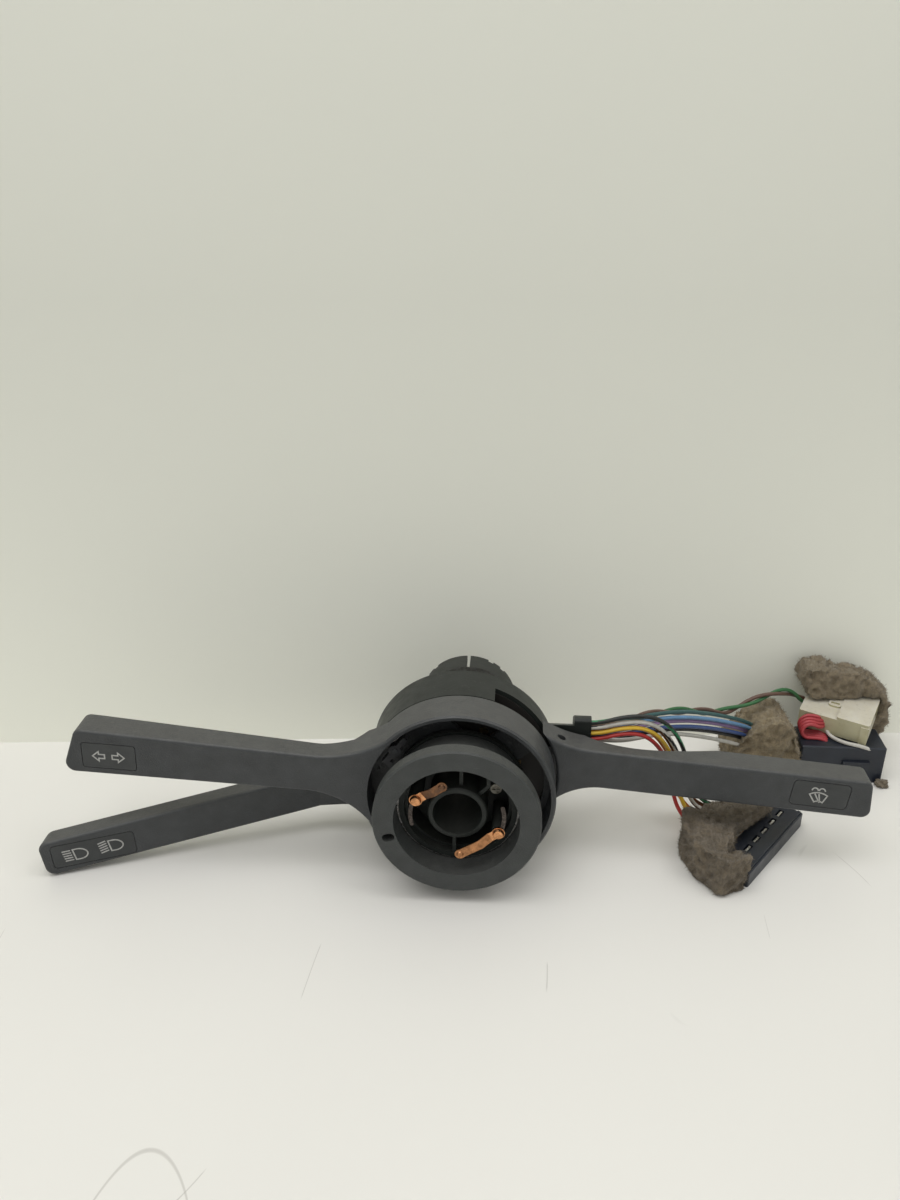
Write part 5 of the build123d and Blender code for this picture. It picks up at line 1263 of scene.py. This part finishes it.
# ---------------------------------------------------------------- connectors
class SWITCH_OT_connectors(bpy.types.Operator):
    """Finish the two black connectors and the pale one"""

    bl_idname = "switch.connectors"
    bl_label = "Connectors"

    def execute(self, context):
        black = moulded_plastic(
            "connector_plastic", (0.009, 0.013, 0.022), roughness=0.36, grain=2.4, depth=0.015, dust_and_sheen=0.07
        )
        dress(black, "right_connector", "low_connector")
        dress(self.nylon(), "white_connector")
        return {"FINISHED"}

    def nylon(self):
        """Natural nylon, milky and painted lighter where it faces up, with painted shade, darker and
        yellower, on its sides.
        """
        finish = Finish("natural_nylon", roughness=0.38)
        aged = finish.between(finish.cloud(10, detail=4.0), 0.35, 0.7)
        # Faces that look up are painted lighter and the sides darker and yellower: painted light and painted
        # shade.
        top = finish.mix(aged, (0.62, 0.59, 0.5), (0.54, 0.5, 0.4))
        side = finish.mix(aged, (0.5, 0.47, 0.31), (0.43, 0.4, 0.25))
        base = finish.mix(finish.between(finish.facing_up(), 0.3, 0.9), side, top)
        soiled = finish.between(finish.cloud(2.4, detail=5.0, rough=0.7), 0.58, 0.82, 0.0, 0.55)
        worn = finish.mix(soiled, base, SOIL_ON_NYLON)
        rubbed = finish.times(scuffs(finish, 5.0, (0.4, 0.2, 0.9)), 0.6)
        finish.paint(finish.mix(rubbed, worn, SCRATCH_ON_NYLON))
        finish.rough(finish.between(finish.cloud(3), 0.3, 0.7, 0.3, 0.5))
        finish.shader.inputs["Subsurface Weight"].default_value = 0.25
        finish.shader.inputs["Subsurface Radius"].default_value = mm(2.5, 2.2, 1.2)
        finish.raise_by(finish.cloud(1.6), 0.03)
        return finish.material


# ---------------------------------------------------------------- printed signs
def arc_points(centre, radii, start, end, count):
    """Points of an oval's arc, with its radii across and up and its angles in degrees."""
    wide, tall = radii
    angles = [math.radians(start + (end - start) * step / count) for step in range(count + 1)]
    return [(centre[0] + wide * math.cos(a), centre[1] + tall * math.sin(a)) for a in angles]


def placed(lines, centre, lean=0.0):
    """Lines moved to a centre, with their tops leaning left."""
    return [([(centre[0] + x - lean * y, centre[1] + y) for x, y in line], closed) for line, closed in lines]


def arrow(centre, facing):
    """Hollow arrow that points along facing, 1 or -1."""
    outline = [
        (-2.75, 1.05),
        (-0.05, 1.05),
        (-0.05, 2.5),
        (2.75, 0),
        (-0.05, -2.5),
        (-0.05, -1.05),
        (-2.75, -1.05),
    ]
    return placed([([(facing * x, y) for x, y in outline], True)], centre)


def headlamp(centre, beam_slope):
    """Lamp with its beams to its left."""
    rise = math.tan(math.radians(beam_slope))
    lamp = [(-0.1, 2.9)] + arc_points((1.9, 0), (3.9, 2.95), 90, -90, 14) + [(-0.1, -2.9)]
    lines = [(lamp, True)]
    drop = rise * (BEAM_RIGHT - BEAM_LEFT) / 2
    for row in range(BEAMS):
        height = BEAM_TOP - BEAM_GAP * row
        lines.append(([(BEAM_LEFT, height - drop), (BEAM_RIGHT, height + drop)], False))
    return placed(lines, centre, HEADLAMP_LEAN)


def washer(centre):
    """Windscreen with its wiper and two sprays."""
    screen = arc_points((0, -5.4), (6.6, 6.2), 128, 52, 8) + arc_points((0, -6.4), (3.0, 2.6), 50, 130, 5)
    blade, arm = [(-1.7, 0.1), (0.5, -4.6)], [(0.2, 0.1), (0.6, -3.6)]
    lines = [(screen, True), (blade, False), (arm, False)]
    for side in (-1, 1):
        lines.append((arc_points((side * 1.6, 1.5), (1.45, 1.7), 172, 8, 10), False))
    return placed(lines, centre, WASHER_LEAN)


def printed(name, lines, stroke, place, material, body):
    """Thin raised print of several strokes, each a line of points in the inlay's plane."""
    ink = bmesh.new()
    for points, closed in lines:
        spots = [Vector((x, y)) for x, y in points]
        last = len(spots) - 1
        rails = []
        for index, spot in enumerate(spots):
            before = spots[index - 1] if index or closed else spot
            after = spots[(index + 1) % len(spots)] if index < last or closed else spot
            into = (spot - before).normalized() if (spot - before).length else (after - spot).normalized()
            out = (after - spot).normalized() if (after - spot).length else into
            normal = Vector((-(into + out).y, (into + out).x)).normalized()
            reach = stroke / 2 / max(MITRE_LIMIT, normal.dot(Vector((-into.y, into.x))))
            rails.append((spot + normal * reach, spot - normal * reach))
        corners = [[ink.verts.new((*mm(p.x, p.y), 0)) for p in pair] for pair in rails]
        pairs = list(zip(corners, corners[1:] + corners[:1])) if closed else list(zip(corners, corners[1:]))
        for (left, right), (next_left, next_right) in pairs:
            ink.faces.new((left, right, next_right, next_left))
    bmesh.ops.recalc_face_normals(ink, faces=ink.faces)
    grown = bmesh.ops.extrude_face_region(ink, geom=list(ink.faces))
    raised = [item for item in grown["geom"] if isinstance(item, bmesh.types.BMVert)]
    bmesh.ops.translate(ink, verts=raised, vec=(0, 0, mm(PRINT_HEIGHT)))
    bmesh.ops.recalc_face_normals(ink, faces=ink.faces)
    data = bpy.data.meshes.new(name)
    ink.to_mesh(data)
    ink.free()
    data.transform(place)
    data.materials.append(material)
    piece = link(name, data)
    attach(piece, body)


def inlay_place(origin, right, up, tilt):
    """Matrix from an inlay's own plane to the switch, its tilt in degrees."""
    out = right.cross(up)
    turn = Matrix((right, up, out)).transposed().to_4x4()
    return Matrix.Translation(origin) @ turn @ Matrix.Rotation(math.radians(tilt), 4, "Z")


class SWITCH_OT_signs(bpy.types.Operator):
    """Print the arrows, the headlamps and the washer on the stalks' inlays"""

    bl_idname = "switch.signs"
    bl_label = "Signs"

    def execute(self, context):
        settings = context.scene.switch_signs
        ink = self.ink(settings.colour)
        across, upward = Vector((1, 0, 0)), Vector((0, 0, 1))
        arrows = [line for centre, facing in ARROWS for line in arrow(centre, facing)]
        for name, body, plate, inlay, lines in (
            ("arrow_signs", "indicator", "indicator_plate", INDICATOR_INLAY, arrows),
            ("washer_sign", "wiper_stalk", "wiper_plate", WIPER_INLAY, washer(WASHER_CENTRE)),
        ):
            origin = Vector((mm(inlay[0]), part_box(plate)[0].y, mm(inlay[1])))
            place = inlay_place(origin, across, upward, inlay[2])
            printed(name, lines, settings.stroke, place, ink, body)
        lean = math.radians(CRANK_ANGLE)
        outward = Vector((-math.cos(lean), -math.sin(lean), 0))
        centre = Vector(mm(*CRANK_START)) + outward * mm(LIGHT_INLAY[0]) - upward * mm(LIGHT_INLAY[1])
        lamps = [line for middle, slope in HEADLAMPS for line in headlamp(middle, slope)]
        place = inlay_place(centre, -outward, upward, LIGHT_INLAY[2])
        printed("headlamp_signs", lamps, settings.stroke, place, ink, "light_stalk")
        return {"FINISHED"}

    def ink(self, colour):
        """Pale print, rubbed in places."""
        finish = Finish("sign_ink")
        worn = finish.between(finish.cloud(1.2, detail=4.0), 0.35, 0.7)
        finish.paint(finish.mix(worn, colour, [c * 0.72 for c in colour]))
        return finish.material


# ---------------------------------------------------------------- add-on
STEPS = (
    SWITCH_OT_stage,
    SWITCH_OT_front_loom,
    SWITCH_OT_rear_loom,
    SWITCH_OT_twisted_pair,
    SWITCH_OT_jumpers,
    SWITCH_OT_foam,
    SWITCH_OT_mouldings,
    SWITCH_OT_metals,
    SWITCH_OT_connectors,
    SWITCH_OT_signs,
)
SETTINGS = (
    ("switch_stage", StageSettings),
    ("switch_surfaces", SurfaceSettings),
    ("switch_loom", LoomSettings),
    ("switch_foam", FoamSettings),
    ("switch_signs", SignSettings),
)


class SWITCH_PT_panel(bpy.types.Panel):
    """Buttons and sizes of the stalk switch's looks"""

    bl_idname = "SWITCH_PT_panel"
    bl_label = "Stalk switch"
    bl_space_type = "VIEW_3D"
    bl_region_type = "UI"
    bl_category = "Switch"

    def draw(self, context):
        layout = self.layout
        for step in STEPS:
            layout.operator(step.bl_idname)
        for name, group in SETTINGS:
            box = layout.box()
            box.label(text=group.__doc__)
            for setting in group.__annotations__:
                box.prop(getattr(context.scene, name), setting)


def register():
    for name, group in SETTINGS:
        bpy.utils.register_class(group)
        setattr(bpy.types.Scene, name, PointerProperty(type=group))
    for step in STEPS:
        bpy.utils.register_class(step)
    bpy.utils.register_class(SWITCH_PT_panel)


def unregister():
    bpy.utils.unregister_class(SWITCH_PT_panel)
    for step in reversed(STEPS):
        bpy.utils.unregister_class(step)
    for name, group in reversed(SETTINGS):
        delattr(bpy.types.Scene, name)
        bpy.utils.unregister_class(group)


def main():
    register()
    for step in STEPS:
        group, action = step.bl_idname.split(".")
        getattr(getattr(bpy.ops, group), action)()


if __name__ == "__main__":
    main()
